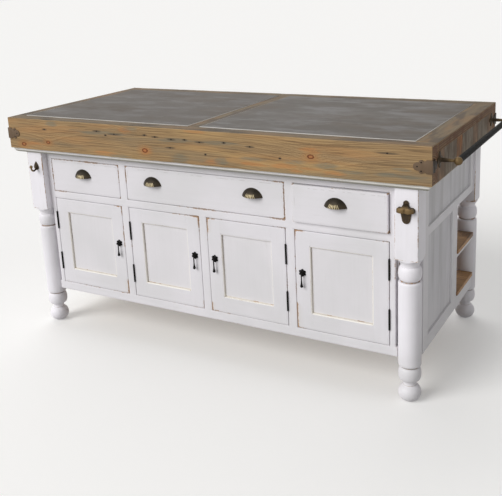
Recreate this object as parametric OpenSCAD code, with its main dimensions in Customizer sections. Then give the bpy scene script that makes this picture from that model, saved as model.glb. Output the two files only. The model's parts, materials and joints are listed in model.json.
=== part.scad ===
// Kitchen island unit: a farmhouse base with four turned legs, four doors, three drawers and
// open shelves at the back, under a thick reclaimed-pine worktop with two let-in zinc sheets.
// X runs along the length, -Y is the door side, Z is up. The origin is on the floor, at the
// middle of everything, rail and hook included.

/* [Worktop] */
// Length of the worktop
worktop_length = 1800; // [1600:10:2200]
// Depth of the worktop, front to back
worktop_depth = 840; // [760:10:960]
// Height of the worktop's timber above the floor
timber_height = 910; // [870:5:950]
// Thickness of the worktop
slab_thickness = 128; // [110:1:140]
// How far the worktop stands past the legs on the left
overhang_left = 62; // [30:1:90]
// How far the worktop stands past the legs on the right
overhang_right = 50; // [30:1:90]
// How far the worktop stands past the legs in front
overhang_front = 24; // [16:1:40]
// How far the worktop stands past the legs at the rear
overhang_rear = 16; // [14:1:40]
// Width of the long front and rear boards
edge_board_width = 60; // [50:1:75]
// Width of the left cross-board
end_board_left = 48; // [40:1:80]
// Width of the right cross-board
end_board_right = 72; // [40:1:80]
// Width of the board between the zinc sheets
divider_width = 52; // [40:1:70]
// Thickness of the cross-boards, the divider and the zinc's bed
inlay_depth = 30; // [24:1:36]
// Hairline between the core planks
plank_gap = 0.6; // [0.3:0.1:0.9]
// Thickness of the zinc sheet
zinc_thickness = 1.5; // [1:0.1:2]
// How far the zinc stands above the timber
zinc_proud = 1; // [0.5:0.1:1.4]
// Depth of the zinc's turned-down edge
zinc_fold = 10; // [6:1:16]

/* [Cornice] */
// Thickness of the moulded board under the worktop
cornice_thickness = 18; // [14:1:24]
// How far the moulded edge sits in from the worktop's edge
cornice_inset = 9; // [5:1:12]
// Open mitre between two lengths
mitre_gap = 0.4; // [0.2:0.1:0.8]

/* [Legs] */
// Side of the square leg block
leg_size = 80; // [70:1:90]
// Length of the square block, from its shoulder up
leg_block_length = 244; // [220:1:260]
// Height of the flared shoulder under the block
leg_shoulder = 30; // [24:1:36]
// Height of the upper bead
upper_bead = 48; // [36:1:56]
// Height of the lower bead
lower_bead = 49; // [34:1:54]
// How far a turning stays inside the square
turning_margin = 0.5; // [0.3:0.1:1.5]
// Depth to which a bead is turned at its two ends
bead_sink = 9; // [6:1:12]
// Height of the groove between bead and shaft
bead_groove = 5; // [2:1:7]
// Rounding at the shaft's two ends
shaft_round = 6; // [2:1:8]
// Height of the ball foot
foot_height = 62; // [56:1:80]
// Height of the neck between foot and lower bead
neck_height = 16; // [12:1:22]
// Radius of the neck
neck_radius = 22; // [18:1:26]

/* [Base] */
// Clear height under the base
floor_clearance = 156; // [120:1:180]
// How far the face frame sits back from the legs' front
face_setback = 28; // [20:1:34]
// Thickness of the face and side frames
frame_thickness = 22; // [18:1:25]
// Width of the end stiles
end_stile_width = 26; // [22:1:30]
// How far the end stile is cut back beside the turned leg
stile_cutback = 7; // [4:1:10]
// Width of the uprights between the openings
muntin_width = 34; // [28:1:40]
// Distance of the outer uprights from the middle
muntin_offset = 368; // [340:1:400]
// Height of the face frame's top rail
top_rail_height = 28; // [24:1:36]
// Height of the drawer openings
drawer_opening = 139; // [120:1:150]
// Height of the rail between drawers and doors
mid_rail_height = 30; // [24:1:40]
// Height of the face frame's bottom rail
bottom_rail_height = 35; // [30:1:45]
// How far the side frames sit in from the legs' outer face
side_setback = 8; // [5:1:14]
// Width of the side frame's front stile
side_front_stile = 56; // [45:1:65]
// Width of the side frame's middle stile
side_mid_stile = 64; // [50:1:75]
// Width of the short stile at the rear leg
side_rear_stile = 39; // [30:1:50]
// Height of the side frame's bottom rail
side_bottom_rail = 48; // [40:1:56]
// Width of the rear frame's middle stile
rear_mid_stile = 60; // [50:1:80]
// Thickness of the recessed panels
panel_thickness = 8; // [6:1:10]
// How far the panels lie back from their frame
panel_recess = 8; // [5:1:9]
// How far a panel enters its groove
panel_tongue = 6; // [5:1:8]
// Room for the panel at the bottom of its groove
panel_play = 1; // [0.5:0.1:1.5]
// Hairline at the joints of frames and boxes
joint_gap = 0.2; // [0.1:0.1:0.4]
// Thickness of the corner returns behind the front legs
return_thickness = 16; // [12:1:20]
// How far a corner return reaches back from the face frame
return_depth = 46; // [44:1:60]

/* [Inside] */
// Depth of the cupboards behind the face frame
cupboard_depth = 430; // [380:5:450]
// Thickness of the inner boards
board_thickness = 16; // [12:1:20]
// Thickness of the partitions between the cupboards
partition_thickness = 18; // [15:1:24]
// Height of the cupboard shelves above the floor
cupboard_shelf_height = 380; // [320:5:440]
// How far a cupboard shelf stays behind the face frame
cupboard_shelf_setback = 66; // [60:1:120]
// How deep a shelf is housed in its partition
shelf_housing = 5; // [3:1:7]
// Side of the battens under the outer ends of the cupboard shelves
shelf_batten = 16; // [12:1:20]
// Height of the drawer guides above the deck
guide_height = 30; // [20:1:40]
// Width of the drawer kickers
kicker_width = 40; // [30:1:60]
// Height of the upper rear shelf's underside
rear_shelf_height = 376; // [320:1:440]
// How far the shelf ends stand past the side frame
shelf_end_proud = 5; // [2:1:6]
// Room between a rear shelf and a leg
shelf_leg_gap = 2; // [1:0.5:4]

/* [Doors] */
// Thickness of doors and drawer fronts
door_thickness = 20; // [18:1:22]
// Gap round doors and drawer fronts
door_gap = 2; // [1.5:0.1:3]
// Gap on the hinge side, with both leaves in it
hinge_gap = 3; // [2.8:0.1:3.4]
// Width of the door stiles
door_stile = 59; // [50:1:70]
// Height of the door's top rail
door_top_rail = 58; // [50:1:70]
// Height of the door's bottom rail
door_bottom_rail = 64; // [50:1:76]

/* [Hinges] */
// Height of a hinge
hinge_height = 75; // [60:1:90]
// Distance from the opening's end to the nearer hinge
hinge_inset = 60; // [50:1:80]
// Thickness of a hinge leaf
leaf_thickness = 1.3; // [1:0.1:1.35]
// Number of knuckles on a hinge
hinge_knuckles = 5; // [3:2:7]
// Radius of the hinge barrel
barrel_radius = 3; // [2.6:0.1:4]
// Radius of the hinge pin
hinge_pin_radius = 1.5; // [1.2:0.1:1.8]
// Radial play of every pin in its bore
pin_play = 0.05; // [0.03:0.01:0.08]
// Length of a leaf behind the face
leaf_length = 19; // [15:1:20]
// Gap between moving metal parts
metal_gap = 0.3; // [0.2:0.1:0.5]
// Room between a leaf and the other leaf's knuckle
leaf_relief = 0.4; // [0.3:0.1:0.6]

/* [Drop pulls] */
// Height of the drop's pivot above the floor
pull_height = 408; // [380:1:440]
// Distance of the rosette from the door's free edge
pull_inset = 26; // [20:1:30]
// Radius of the rosette's disc
rosette_radius = 11; // [9:0.5:12]
// Radius of the lobes round the disc
rosette_lobe = 4.5; // [3:0.5:5]
// Thickness of the rosette at its edge
rosette_edge = 2; // [1.5:0.1:3]
// Height of the rosette's dome
rosette_dome = 2.5; // [1.5:0.1:3]
// Distance of the drop's pivot from the door
pivot_reach = 11; // [10:0.5:13]
// Thickness of the ears beside the drop
ear_thickness = 1.8; // [1.4:0.1:2.2]
// Width of the drop's eye
eye_width = 6; // [4:0.5:7]
// Radius of the drop's eye
eye_radius = 4; // [3.5:0.1:4.5]
// Radius of the drop's pin
drop_pin_radius = 1.5; // [1.2:0.1:1.8]
// Length of the drop below its pivot
drop_length = 53; // [45:1:60]
// Radius of the drop's tip
drop_tip_radius = 5.5; // [4.5:0.1:6]
// Radius of the drop's stem
drop_stem_radius = 2.2; // [1.8:0.1:2.6]

/* [Drawers] */
// Room behind a closed drawer box
drawer_back_room = 32; // [10:1:60]
// Thickness of the drawer sides
drawer_side = 12; // [10:1:15]
// Room above the drawer sides
drawer_head_room = 9; // [5:1:30]
// Thickness of the drawer bottom
drawer_bottom = 6; // [4:1:9]
// Height of the drawer bottom above the side's lower edge
drawer_bottom_lift = 8; // [5:1:12]
// How deep the drawer bottom is let into the sides and the front
drawer_groove = 6; // [4:0.5:7]
// Number of whole dovetail pins at each rear corner of a drawer
drawer_pins = 3; // [2:1:5]
// Play between a drawer and its guides
drawer_play = 1; // [0.5:0.1:1.5]
// Running gap under a drawer
drawer_running_gap = 0.3; // [0.2:0.1:0.6]
// How far the right drawer stands open
right_drawer_open = 12; // [0:1:30]

/* [Cup pulls] */
// Width of a cup pull
cup_width = 84; // [70:1:96]
// How far a cup pull stands out
cup_reach = 25; // [20:1:30]
// Height of a cup pull above its lower edge
cup_height = 33; // [28:1:40]
// Wall of a cup pull
cup_wall = 2; // [1.5:0.1:2.5]
// Height of a cup pull's lower edge above the drawer opening
cup_lift = 72; // [60:1:76]
// Distance of the middle drawer's pulls from its middle
cup_spread = 222; // [180:1:260]
// How far the outer drawers' pulls sit to the left of their middle
cup_shift = 10; // [0:1:20]
// Number of ribs on a cup pull
cup_rib_count = 7; // [5:2:9]
// Angle between two ribs where they fan out from the hood's top
cup_rib_step = 10; // [8:0.5:12]
// Radius of a rib
cup_rib_radius = 3; // [2:0.1:3.4]
// How far a rib stands out at the hood's lower edge
cup_rib_proud = 1.2; // [0.6:0.1:1.8]

/* [Corner straps] */
// Thickness of the corner straps
strap_thickness = 2.5; // [2:0.1:3]
// Length of the strap on the long board
strap_front = 60; // [54:1:72]
// Length of the strap on the end
strap_side = 46; // [40:1:60]
// Height of a strap
strap_height = 44; // [38:1:52]
// Radius of the strap's end lobe
strap_end_radius = 13; // [10:0.5:15]
// Radius of the strap's side lobes
strap_lobe_radius = 8; // [6:0.5:10]
// Distance of the strap's middle below the timber's top
strap_drop = 65; // [55:1:75]

/* [Towel rail] */
// Gap between a bracket's plate and the corner strap
rail_plate_gap = 3; // [1:1:40]
// Distance of the rail below the timber's top
rail_drop = 57; // [45:1:70]
// Distance of the rail from the worktop's end
rail_reach = 60; // [45:1:75]
// Radius of the bar
rail_radius = 10.5; // [8:0.5:11]
// Radius of the balls that hold the bar
rail_ball_radius = 13.5; // [13:0.5:16]
// Radius of the bracket's plate, to the ends of its lobes
rail_plate_radius = 26; // [22:1:30]
// Radius of the four lobes of the plate
rail_lobe_radius = 9.5; // [8:0.5:11]
// Thickness of the plate
rail_plate_thickness = 3; // [2:0.5:4]
// Radius of the bracket's arm at the plate
rail_arm_radius = 7; // [6:0.5:8]
// How much thinner the arm is at the ball
rail_arm_taper = 2; // [1:0.5:3]
// Depth of the bar's socket, from the ball's middle
rail_socket = 4; // [3:0.5:6]

/* [Bottle opener] */
// Distance of the opener's middle below the timber's top
opener_drop = 223; // [210:1:250]
// Thickness of the opener's plate
opener_plate = 3; // [2.5:0.5:4]
// Half the width of the hood
opener_half = 30; // [28:0.5:33]
// Height of the hood above its mouth
opener_hood_height = 24; // [22:1:28]
// Wall of the hood
opener_wall = 3.5; // [3:0.5:4.5]
// How far the hood stands out
opener_reach = 25; // [22:1:27]

/* [Coat hook] */
// Distance of the hook plate's middle below the timber's top
hook_drop = 203; // [195:1:220]
// How far the hook sits inside the left block's middle
hook_shift = 7; // [0:1:12]
// Radius of the hook's bend
hook_bend = 13; // [10:0.5:15]
// Radius of the hook's rod
hook_rod = 3.5; // [3:0.1:4.5]
// Radius of the ball at the hook's tip
hook_ball = 6.5; // [5:0.5:7.5]
// Thickness of the hook's plate
hook_plate = 3; // [2:0.5:4]

/* [Hidden] */

fine = 64;              // sides of a turned circle
small = 32;             // sides of a small circle
cut = 1;                // how far a cutter runs past what it cuts

white = "whitesmoke";
pine = "tan";
weathered = "rosybrown";
bare_wood = "burlywood";
dark_iron = "dimgray";
brass = "darkgoldenrod";

// outlines of the base and the worktop
base_length = worktop_length - overhang_left - overhang_right;
base_half = base_length / 2;
slab_left = -base_half - overhang_left;
slab_right = base_half + overhang_right;
slab_front = -worktop_depth / 2;
slab_rear = worktop_depth / 2;
slab_bottom = timber_height - slab_thickness;
base_top = slab_bottom - cornice_thickness;
inlay_bottom = timber_height - inlay_depth;
core_front = slab_front + edge_board_width;
core_rear = slab_rear - edge_board_width;

// zinc bays: two of one length, with the divider between them
zinc_left = slab_left + end_board_left;
zinc_right = slab_right - end_board_right;
zinc_length = (zinc_right - zinc_left - divider_width) / 2;
zinc_bays = [[zinc_left, zinc_left + zinc_length], [zinc_right - zinc_length, zinc_right]];
bed_top = timber_height + zinc_proud - zinc_thickness;

// legs
leg_x = base_half - leg_size / 2;
leg_front_y = slab_front + overhang_front + leg_size / 2;
leg_rear_y = slab_rear - overhang_rear - leg_size / 2;
block_bottom = base_top - leg_block_length;
turned_radius = leg_size / 2 - turning_margin;
frame_end = base_half - leg_size;              // where the frames meet the leg blocks
leg_back_y = leg_front_y + leg_size / 2;       // rear face of a front block
leg_fore_y = leg_rear_y - leg_size / 2;        // front face of a rear block

// face frame
face_y = leg_front_y - leg_size / 2 + face_setback;
face_back = face_y + frame_thickness;
stile_x = frame_end - end_stile_width;
rail_tops = [floor_clearance + bottom_rail_height, base_top - top_rail_height - drawer_opening, base_top];
mid_rail_z = rail_tops[1] - mid_rail_height;
drawer_top = base_top - top_rail_height;
door_opening_z = [rail_tops[0], mid_rail_z];
half_muntin = muntin_width / 2;
door_openings = [[-stile_x, -muntin_offset - half_muntin], [-muntin_offset + half_muntin, -half_muntin],
                 [half_muntin, muntin_offset - half_muntin], [muntin_offset + half_muntin, stile_x]];
drawer_openings = [door_openings[0], [door_openings[1][0], door_openings[2][1]], door_openings[3]];

// side and rear frames
side_x = base_half - side_setback;
side_inner = side_x - frame_thickness;
side_low = floor_clearance + side_bottom_rail;
carcass_back = face_back + cupboard_depth;
back_rear = carcass_back + board_thickness;    // rear face of the cupboard back
mid_stile_y = [back_rear - side_mid_stile, back_rear];
front_stile_y = [leg_back_y, leg_back_y + side_front_stile];
rear_stile_y = [leg_fore_y - side_rear_stile, leg_fore_y];
rear_face_y = leg_rear_y + leg_size / 2 - face_setback;
rear_frame_y = [rear_face_y - frame_thickness, rear_face_y];
return_y = face_back + return_depth;
return_x = frame_end - return_thickness;

// inside
floor_z = [rail_tops[0] - board_thickness, rail_tops[0]];
deck_z = [rail_tops[1] - board_thickness, rail_tops[1]];
partition_xs = [-muntin_offset, 0, muntin_offset];
shelf_z = [cupboard_shelf_height, cupboard_shelf_height + board_thickness];
upper_shelf_z = [rear_shelf_height, rear_shelf_height + board_thickness];
lower_shelf_z = [side_low, side_low + board_thickness];

// doors: [opening, side of the hinge: -1 left, 1 right]
door_hinge_side = [-1, -1, 1, 1];
door_z = [door_opening_z[0] + door_gap, door_opening_z[1] - door_gap];
hinge_zs = [door_opening_z[0] + hinge_inset, door_opening_z[1] - hinge_inset - hinge_height];
hinge_axis_y = face_y - barrel_radius;
pivot_y = face_y - pivot_reach;

// drawers
drawer_z = [rail_tops[1] + door_gap, drawer_top - door_gap];
cup_z = rail_tops[1] + cup_lift;

// middle of everything: from the left strap to the rail's ball, from the hook's tip to the rear straps
hook_root = hook_rod + 1;             // radius of the ball where the hook leaves its plate
hook_reach = hook_root + 2 * hook_bend + hook_ball;
extent_x = [slab_left - strap_thickness, slab_right + rail_reach + rail_ball_radius];
hook_tip_y = leg_front_y - leg_size / 2 - hook_reach;
extent_y = [min(slab_front - strap_thickness, hook_tip_y), slab_rear + strap_thickness];
middle_x = (extent_x[0] + extent_x[1]) / 2;
middle_y = (extent_y[0] + extent_y[1]) / 2;

// ---- shared shapes ----

module placed() {
  translate([-middle_x, -middle_y, 0]) children();
}

// a board between three pairs of faces
module board(x, y, z) {
  translate([x[0], y[0], z[0]]) cube([x[1] - x[0], y[1] - y[0], z[1] - z[0]]);
}

module both_ends() {
  children();
  mirror([1, 0, 0]) children();
}

function sorted(a, b) = [min(a, b), max(a, b)];
function shrunk(span, by) = [span[0] + by, span[1] - by];
function arc(middle, r, from, to, steps) =
  [for (i = [0:steps]) let (a = from + (to - from) * i / steps)
    [middle[0] + r * cos(a), middle[1] + r * sin(a)]];

// a rounded ring from z0 to z1: out to r in its middle, r - sink at both ends
function bead(r, z0, z1, sink) =
  let (half = (z1 - z0) / 2, big = (half * half + sink * sink) / (2 * sink), a = asin(half / big))
  arc([r - big, (z0 + z1) / 2], big, -a, a, 10);

// ---- legs ----

foot_flat = 0.97;       // share of the foot's half height that its round reaches at the floor
foot_ball = foot_height / 2 / foot_flat;
bead_z = foot_height + neck_height;
shaft_z = bead_z + lower_bead + bead_groove;
shoulder_z = block_bottom - leg_shoulder;
shaft_top = shoulder_z - upper_bead - bead_groove;
shoulder_start = 31;    // radius of the shoulder where it rises from the upper bead
block_radius = leg_size * 0.76;  // past the block's corners, so that the square cuts it all round
foot_turn = 58;         // angle at which the foot's round gives way to the neck
neck_straight = 0.55;   // share of the neck's height that is straight
neck_flare = 3;         // how far the neck widens under the lower bead
neck_flare_drop = 2;    // height of the neck's widest part under the bead

function leg_profile() = concat(
  [[0, 0]],
  arc([turned_radius - foot_ball, foot_height / 2], foot_ball, -asin(foot_flat), foot_turn, 14),
  [[neck_radius, foot_height], [neck_radius, foot_height + neck_height * neck_straight]],
  [[neck_radius + neck_flare, bead_z - neck_flare_drop]],
  bead(turned_radius, bead_z, bead_z + lower_bead, bead_sink),
  [[turned_radius - bead_sink, shaft_z]],
  arc([turned_radius - shaft_round, shaft_z + shaft_round], shaft_round, -90, 0, 4),
  arc([turned_radius - shaft_round, shaft_top - shaft_round], shaft_round, 0, 90, 4),
  [[turned_radius - bead_sink, shaft_top]],
  bead(turned_radius, shoulder_z - upper_bead, shoulder_z, bead_sink),
  [for (a = [0:15:90])
    [block_radius - (block_radius - shoulder_start) * cos(a), shoulder_z + leg_shoulder * sin(a)]],
  [[block_radius, base_top], [0, base_top]]);

module leg(x, y) {
  color(white) translate([x, y, 0]) intersection() {
    translate([-leg_size / 2, -leg_size / 2, 0]) cube([leg_size, leg_size, base_top]);
    rotate_extrude($fn = fine) polygon(leg_profile());
  }
}

// ---- face frame ----

module face_frame_rails() {
  color(white) {
    board([-stile_x, stile_x], [face_y, face_back], [floor_clearance, rail_tops[0]]);
    board([-stile_x, stile_x], [face_y, face_back], [mid_rail_z, rail_tops[1]]);
    board([-stile_x, stile_x], [face_y, face_back], [drawer_top, base_top]);
  }
}

module end_stile() {
  difference() {
    board([stile_x, frame_end], [face_y, face_back], [floor_clearance, base_top]);
    board([frame_end - stile_cutback, frame_end + cut], [face_y - cut, face_back + cut],
          [rail_tops[0], block_bottom]);
  }
}

module face_frame_stiles() {
  color(white) {
    both_ends() end_stile();
    for (x = partition_xs)
      board([x - half_muntin, x + half_muntin], [face_y, face_back], door_opening_z);
    for (x = [-muntin_offset, muntin_offset])
      board([x - half_muntin, x + half_muntin], [face_y, face_back], [rail_tops[1], drawer_top]);
  }
}

// ---- side and rear frames ----

module corner_returns() {
  color(white) both_ends() union() {
    board([return_x, frame_end], [face_back, return_y], [floor_clearance, base_top]);
    board([return_x, side_inner], [leg_back_y, return_y], [floor_clearance, base_top]);
  }
}

side_windows = [[[front_stile_y[1], rear_stile_y[0]], [rail_tops[1], drawer_top]],
                [[front_stile_y[1], mid_stile_y[0]], [side_low, mid_rail_z]]];
rear_windows = [[-frame_end + side_rear_stile, -rear_mid_stile / 2],
                [rear_mid_stile / 2, frame_end - side_rear_stile]];
panel_back = panel_recess + panel_thickness;

// a side panel fills its window and enters the grooves by the reach given
module side_panel(window, reach) {
  board([side_x - panel_back, side_x - panel_recess], [window[0][0] - reach, window[0][1] + reach],
        [window[1][0] - reach, window[1][1] + reach]);
}

module rear_panel(window, reach) {
  board([window[0] - reach, window[1] + reach], [rear_face_y - panel_back, rear_face_y - panel_recess],
        [rail_tops[1] - reach, drawer_top + reach]);
}

module side_frame() {
  x = [side_inner, side_x];
  color(white) difference() {
    union() {
      board(x, front_stile_y, [floor_clearance, base_top]);
      board(x, mid_stile_y, [side_low + joint_gap, mid_rail_z - joint_gap]);
      board(x, rear_stile_y, [mid_rail_z, base_top]);
      board(x, [front_stile_y[1] + joint_gap, rear_stile_y[0] - joint_gap], [drawer_top, base_top]);
      board(x, [front_stile_y[1] + joint_gap, rear_stile_y[0] - joint_gap], [mid_rail_z, rail_tops[1]]);
      board(x, [front_stile_y[1] + joint_gap, leg_fore_y], [floor_clearance, side_low]);
    }
    for (window = side_windows) side_panel(window, panel_tongue + panel_play);
  }
}

module side_rear_panels() {
  color(white) {
    both_ends() for (window = side_windows) side_panel(window, panel_tongue);
    for (window = rear_windows) rear_panel(window, panel_tongue);
  }
}

module rear_frame() {
  y = rear_frame_y;
  end_x = frame_end - side_rear_stile;
  color(white) difference() {
    union() {
      for (side = [-1, 1])
        board(sorted(side * end_x, side * frame_end), y, [mid_rail_z, base_top]);
      board([-rear_mid_stile / 2, rear_mid_stile / 2], y, [rail_tops[1] + joint_gap, drawer_top - joint_gap]);
      board([-end_x + joint_gap, end_x - joint_gap], y, [drawer_top, base_top]);
      board([-end_x + joint_gap, end_x - joint_gap], y, [mid_rail_z, rail_tops[1]]);
    }
    for (window = rear_windows) rear_panel(window, panel_tongue + panel_play);
  }
}

// ---- inside ----

// a board of the cupboards, cut out at both front corners for the returns
module notched_board(z) {
  difference() {
    board([-side_inner, side_inner], [face_back, carcass_back], z);
    both_ends() board([return_x, side_inner + cut], [face_back - cut, return_y], [z[0] - cut, z[1] + cut]);
  }
}

module cupboard_floor() {
  color(bare_wood) notched_board(floor_z);
}

module drawer_deck() {
  color(bare_wood) notched_board(deck_z);
}

function shelf_span(i) = [
  i == 0 ? -side_inner : partition_xs[i - 1] + partition_thickness / 2 - shelf_housing,
  i == 3 ? side_inner : partition_xs[i] - partition_thickness / 2 + shelf_housing];

shelf_y = [face_back + cupboard_shelf_setback, carcass_back];
batten_z = [shelf_z[0] - joint_gap - shelf_batten, shelf_z[0] - joint_gap];

// shelves housed in the partitions, and on battens screwed to the side frames
module cupboard_shelves() {
  color(bare_wood) {
    for (i = [0:3]) board(shelf_span(i), shelf_y, shelf_z);
    both_ends()
      board([side_inner - shelf_batten, side_inner], shelf_y, batten_z);
  }
}

module partitions() {
  color(bare_wood) difference() {
    for (x = partition_xs)
      board([x - partition_thickness / 2, x + partition_thickness / 2], [face_back, carcass_back],
            [floor_z[1], deck_z[0]]);
    cupboard_shelves();
  }
}

module cupboard_back() {
  color(white) board([-side_inner, side_inner], [carcass_back, back_rear], [floor_clearance, base_top]);
}

guide_z = [rail_tops[1], rail_tops[1] + guide_height];

module drawer_guides() {
  color(bare_wood) both_ends() {
    board([muntin_offset - half_muntin, muntin_offset + half_muntin], [face_back, carcass_back], guide_z);
    board([stile_x, side_inner], [return_y, carcass_back], guide_z);
  }
}

module drawer_kickers() {
  color(bare_wood) for (opening = drawer_openings) {
    x = (opening[0] + opening[1]) / 2;
    board([x - kicker_width / 2, x + kicker_width / 2], [face_back, carcass_back], [drawer_top, base_top]);
  }
}

// ---- rear shelves ----

module rear_shelf(z) {
  board([-side_x - shelf_end_proud, side_x + shelf_end_proud], [back_rear, leg_fore_y], z);
  board([-frame_end + shelf_leg_gap, frame_end - shelf_leg_gap], [leg_fore_y - cut, rear_face_y], z);
}

module rear_shelves() {
  color(pine) {
    rear_shelf(upper_shelf_z);
    rear_shelf(lower_shelf_z);
  }
}

module rear_shelf_rails() {
  end_z = [upper_shelf_z[0] - board_thickness, upper_shelf_z[0]];
  color(white) {
    both_ends() board([side_inner, side_x], [back_rear, leg_fore_y], end_z);
    board([-frame_end, frame_end], rear_frame_y, end_z);
    board([-frame_end, frame_end], rear_frame_y, [floor_clearance, side_low]);
  }
}

module rear_dividers() {
  x = [-partition_thickness / 2, partition_thickness / 2];
  color(white) {
    board(x, [back_rear, rear_frame_y[0]], [lower_shelf_z[1], upper_shelf_z[0]]);
    board(x, [back_rear, rear_frame_y[0]], [upper_shelf_z[1], base_top]);
  }
}

// ---- worktop ----

cornice_fillet = 4;     // square edge above the moulding
cornice_bead = 3.5;     // radius of the round under it
cornice_cove = 6;       // radius of the hollow

// half of the moulding's section: distance from the middle, height
function moulding(half) = concat(
  [[0, 0], [half - cornice_cove - cornice_bead, 0]],
  arc([half - cornice_cove - cornice_bead, cornice_cove + 1], cornice_cove, -90, -10, 6),
  arc([half - cornice_bead, cornice_thickness - cornice_fillet - cornice_bead], cornice_bead, -70, 70, 6),
  [[half, cornice_thickness - cornice_fillet], [half, cornice_thickness], [0, cornice_thickness]]);

module moulded_slab(half, length) {
  for (side = [0, 1]) mirror([side, 0, 0]) rotate([90, 0, 0])
    translate([0, 0, -length / 2]) linear_extrude(length) polygon(moulding(half));
}

cornice_x = [slab_left + cornice_inset, slab_right - cornice_inset];
cornice_y = [slab_front + cornice_inset, slab_rear - cornice_inset];
cornice_hole_x = [-frame_end, frame_end];
cornice_hole_y = [leg_back_y, leg_fore_y];

// one length in plan, from its outer edge over the span to its inner edge over the hole
function mitred(outer, inner, span, hole) = let (g = mitre_gap / 2)
  [[span[0] + g, outer], [span[1] - g, outer], [hole[1] - g, inner], [hole[0] + g, inner]];
function swapped(points) = [for (p = points) [p[1], p[0]]];

cornice_plans = concat(
  [for (k = [0, 1]) mitred(cornice_y[k], cornice_hole_y[k], cornice_x, cornice_hole_x)],
  [for (k = [0, 1]) swapped(mitred(cornice_x[k], cornice_hole_x[k], cornice_y, cornice_hole_y))]);

module cornice() {
  width = cornice_x[1] - cornice_x[0];
  depth = cornice_y[1] - cornice_y[0];
  color(white) for (plan = cornice_plans) intersection() {
    translate([(cornice_x[0] + cornice_x[1]) / 2, (cornice_y[0] + cornice_y[1]) / 2, base_top]) {
      intersection() {
        moulded_slab(width / 2, depth);
        rotate([0, 0, 90]) moulded_slab(depth / 2, width);
      }
    }
    translate([0, 0, base_top - cut]) linear_extrude(cornice_thickness + 2 * cut) polygon(plan);
  }
}

// narrow and wide planks in turn, from front to back
plank_shares = [1, 2, 1, 2, 1, 2, 1];
plank_unit = (core_rear - core_front) / 10;
function plank_start(i) = i == 0 ? core_front : plank_start(i - 1) + plank_shares[i - 1] * plank_unit;

module core_planks() {
  last = len(plank_shares) - 1;
  color(weathered) for (i = [0:last]) {
    start = plank_start(i) + (i == 0 ? 0 : plank_gap / 2);
    end = plank_start(i) + plank_shares[i] * plank_unit - (i == last ? 0 : plank_gap / 2);
    board([slab_left, slab_right], [start, end], [slab_bottom, inlay_bottom]);
  }
}

module front_board() {
  color(pine) board([slab_left, slab_right], [slab_front, core_front], [slab_bottom, timber_height]);
}

module rear_board() {
  color(pine) board([slab_left, slab_right], [core_rear, slab_rear], [slab_bottom, timber_height]);
}

module end_boards() {
  color(pine) {
    board([slab_left, zinc_left], [core_front, core_rear], [inlay_bottom, timber_height]);
    board([zinc_right, slab_right], [core_front, core_rear], [inlay_bottom, timber_height]);
  }
}

module divider_board() {
  color(pine)
    board([zinc_bays[0][1], zinc_bays[1][0]], [core_front, core_rear], [inlay_bottom, timber_height]);
}

zinc_bed_y = shrunk([core_front, core_rear], zinc_thickness);

module zinc_beds() {
  color(bare_wood) for (bay = zinc_bays)
    board(shrunk(bay, zinc_thickness), zinc_bed_y, [inlay_bottom, bed_top]);
}

module zinc_sheets() {
  color("darkgray") for (bay = zinc_bays) difference() {
    board(bay, [core_front, core_rear], [bed_top - zinc_fold, bed_top + zinc_thickness]);
    board(shrunk(bay, zinc_thickness), zinc_bed_y, [bed_top - zinc_fold - cut, bed_top]);
  }
}

// ---- ironmongery of the worktop ----

strap_z = timber_height - strap_drop;
scoop_radius = 9;       // hollow between a side lobe and the corner

module strap_outline(length) {
  lobes = length - 2 * strap_end_radius;
  translate([length - strap_end_radius, 0]) circle(strap_end_radius, $fn = small);
  for (side = [-1, 1]) translate([lobes, side * (strap_height / 2 - strap_lobe_radius)])
    circle(strap_lobe_radius, $fn = small);
  translate([0, -strap_end_radius]) square([length - strap_end_radius, 2 * strap_end_radius]);
  difference() {
    translate([0, -strap_height / 2]) square([lobes, strap_height]);
    for (side = [-1, 1]) translate([lobes - scoop_radius, side * (strap_height / 2 + scoop_radius / 2)])
      circle(scoop_radius, $fn = small);
  }
}

// one strap round a corner at the origin, with its legs along +X and +Y
module corner_strap() {
  rotate([90, 0, 0]) linear_extrude(strap_thickness) union() {
    strap_outline(strap_front);
    translate([-strap_thickness, -strap_height / 2]) square([2 * strap_thickness, strap_height]);
  }
  rotate([90, 0, 90]) translate([0, 0, -strap_thickness]) linear_extrude(strap_thickness)
    strap_outline(strap_side);
}

module corner_straps() {
  color(dark_iron) for (side = [0, 1], end = [0, 1])
    translate([end == 0 ? slab_left : slab_right, side == 0 ? slab_front : slab_rear, strap_z])
      mirror([end, 0, 0]) mirror([0, side, 0]) corner_strap();
}

rail_span = worktop_depth - 2 * (strap_side + rail_plate_gap + rail_plate_radius);
rail_x = slab_right + rail_reach;
rail_z = timber_height - rail_drop;
arm_end = rail_arm_radius - rail_arm_taper;
ball_angle = acos(arm_end / rail_ball_radius);

rail_boss = rail_arm_radius + 7;      // round boss on the plate
rail_boss_height = rail_plate_thickness + 1;
rail_cove = 6;                        // height over which the boss draws in to the arm

// boss, tapered arm and ball, turned in one
function bracket_profile() = concat(
  [[0, 0], [rail_boss, 0], [rail_boss, rail_boss_height]],
  [for (a = [15:15:90])
    [rail_boss - (rail_boss - rail_arm_radius) * sin(a), rail_boss_height + rail_cove * (1 - cos(a))]],
  arc([0, rail_reach], rail_ball_radius, -ball_angle, 90, 12));

module bracket_plate() {
  linear_extrude(rail_plate_thickness) union() {
    circle(rail_boss, $fn = small);
    for (a = [0:90:270]) rotate(a) translate([rail_plate_radius - rail_lobe_radius, 0])
      circle(rail_lobe_radius, $fn = small);
  }
}

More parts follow.
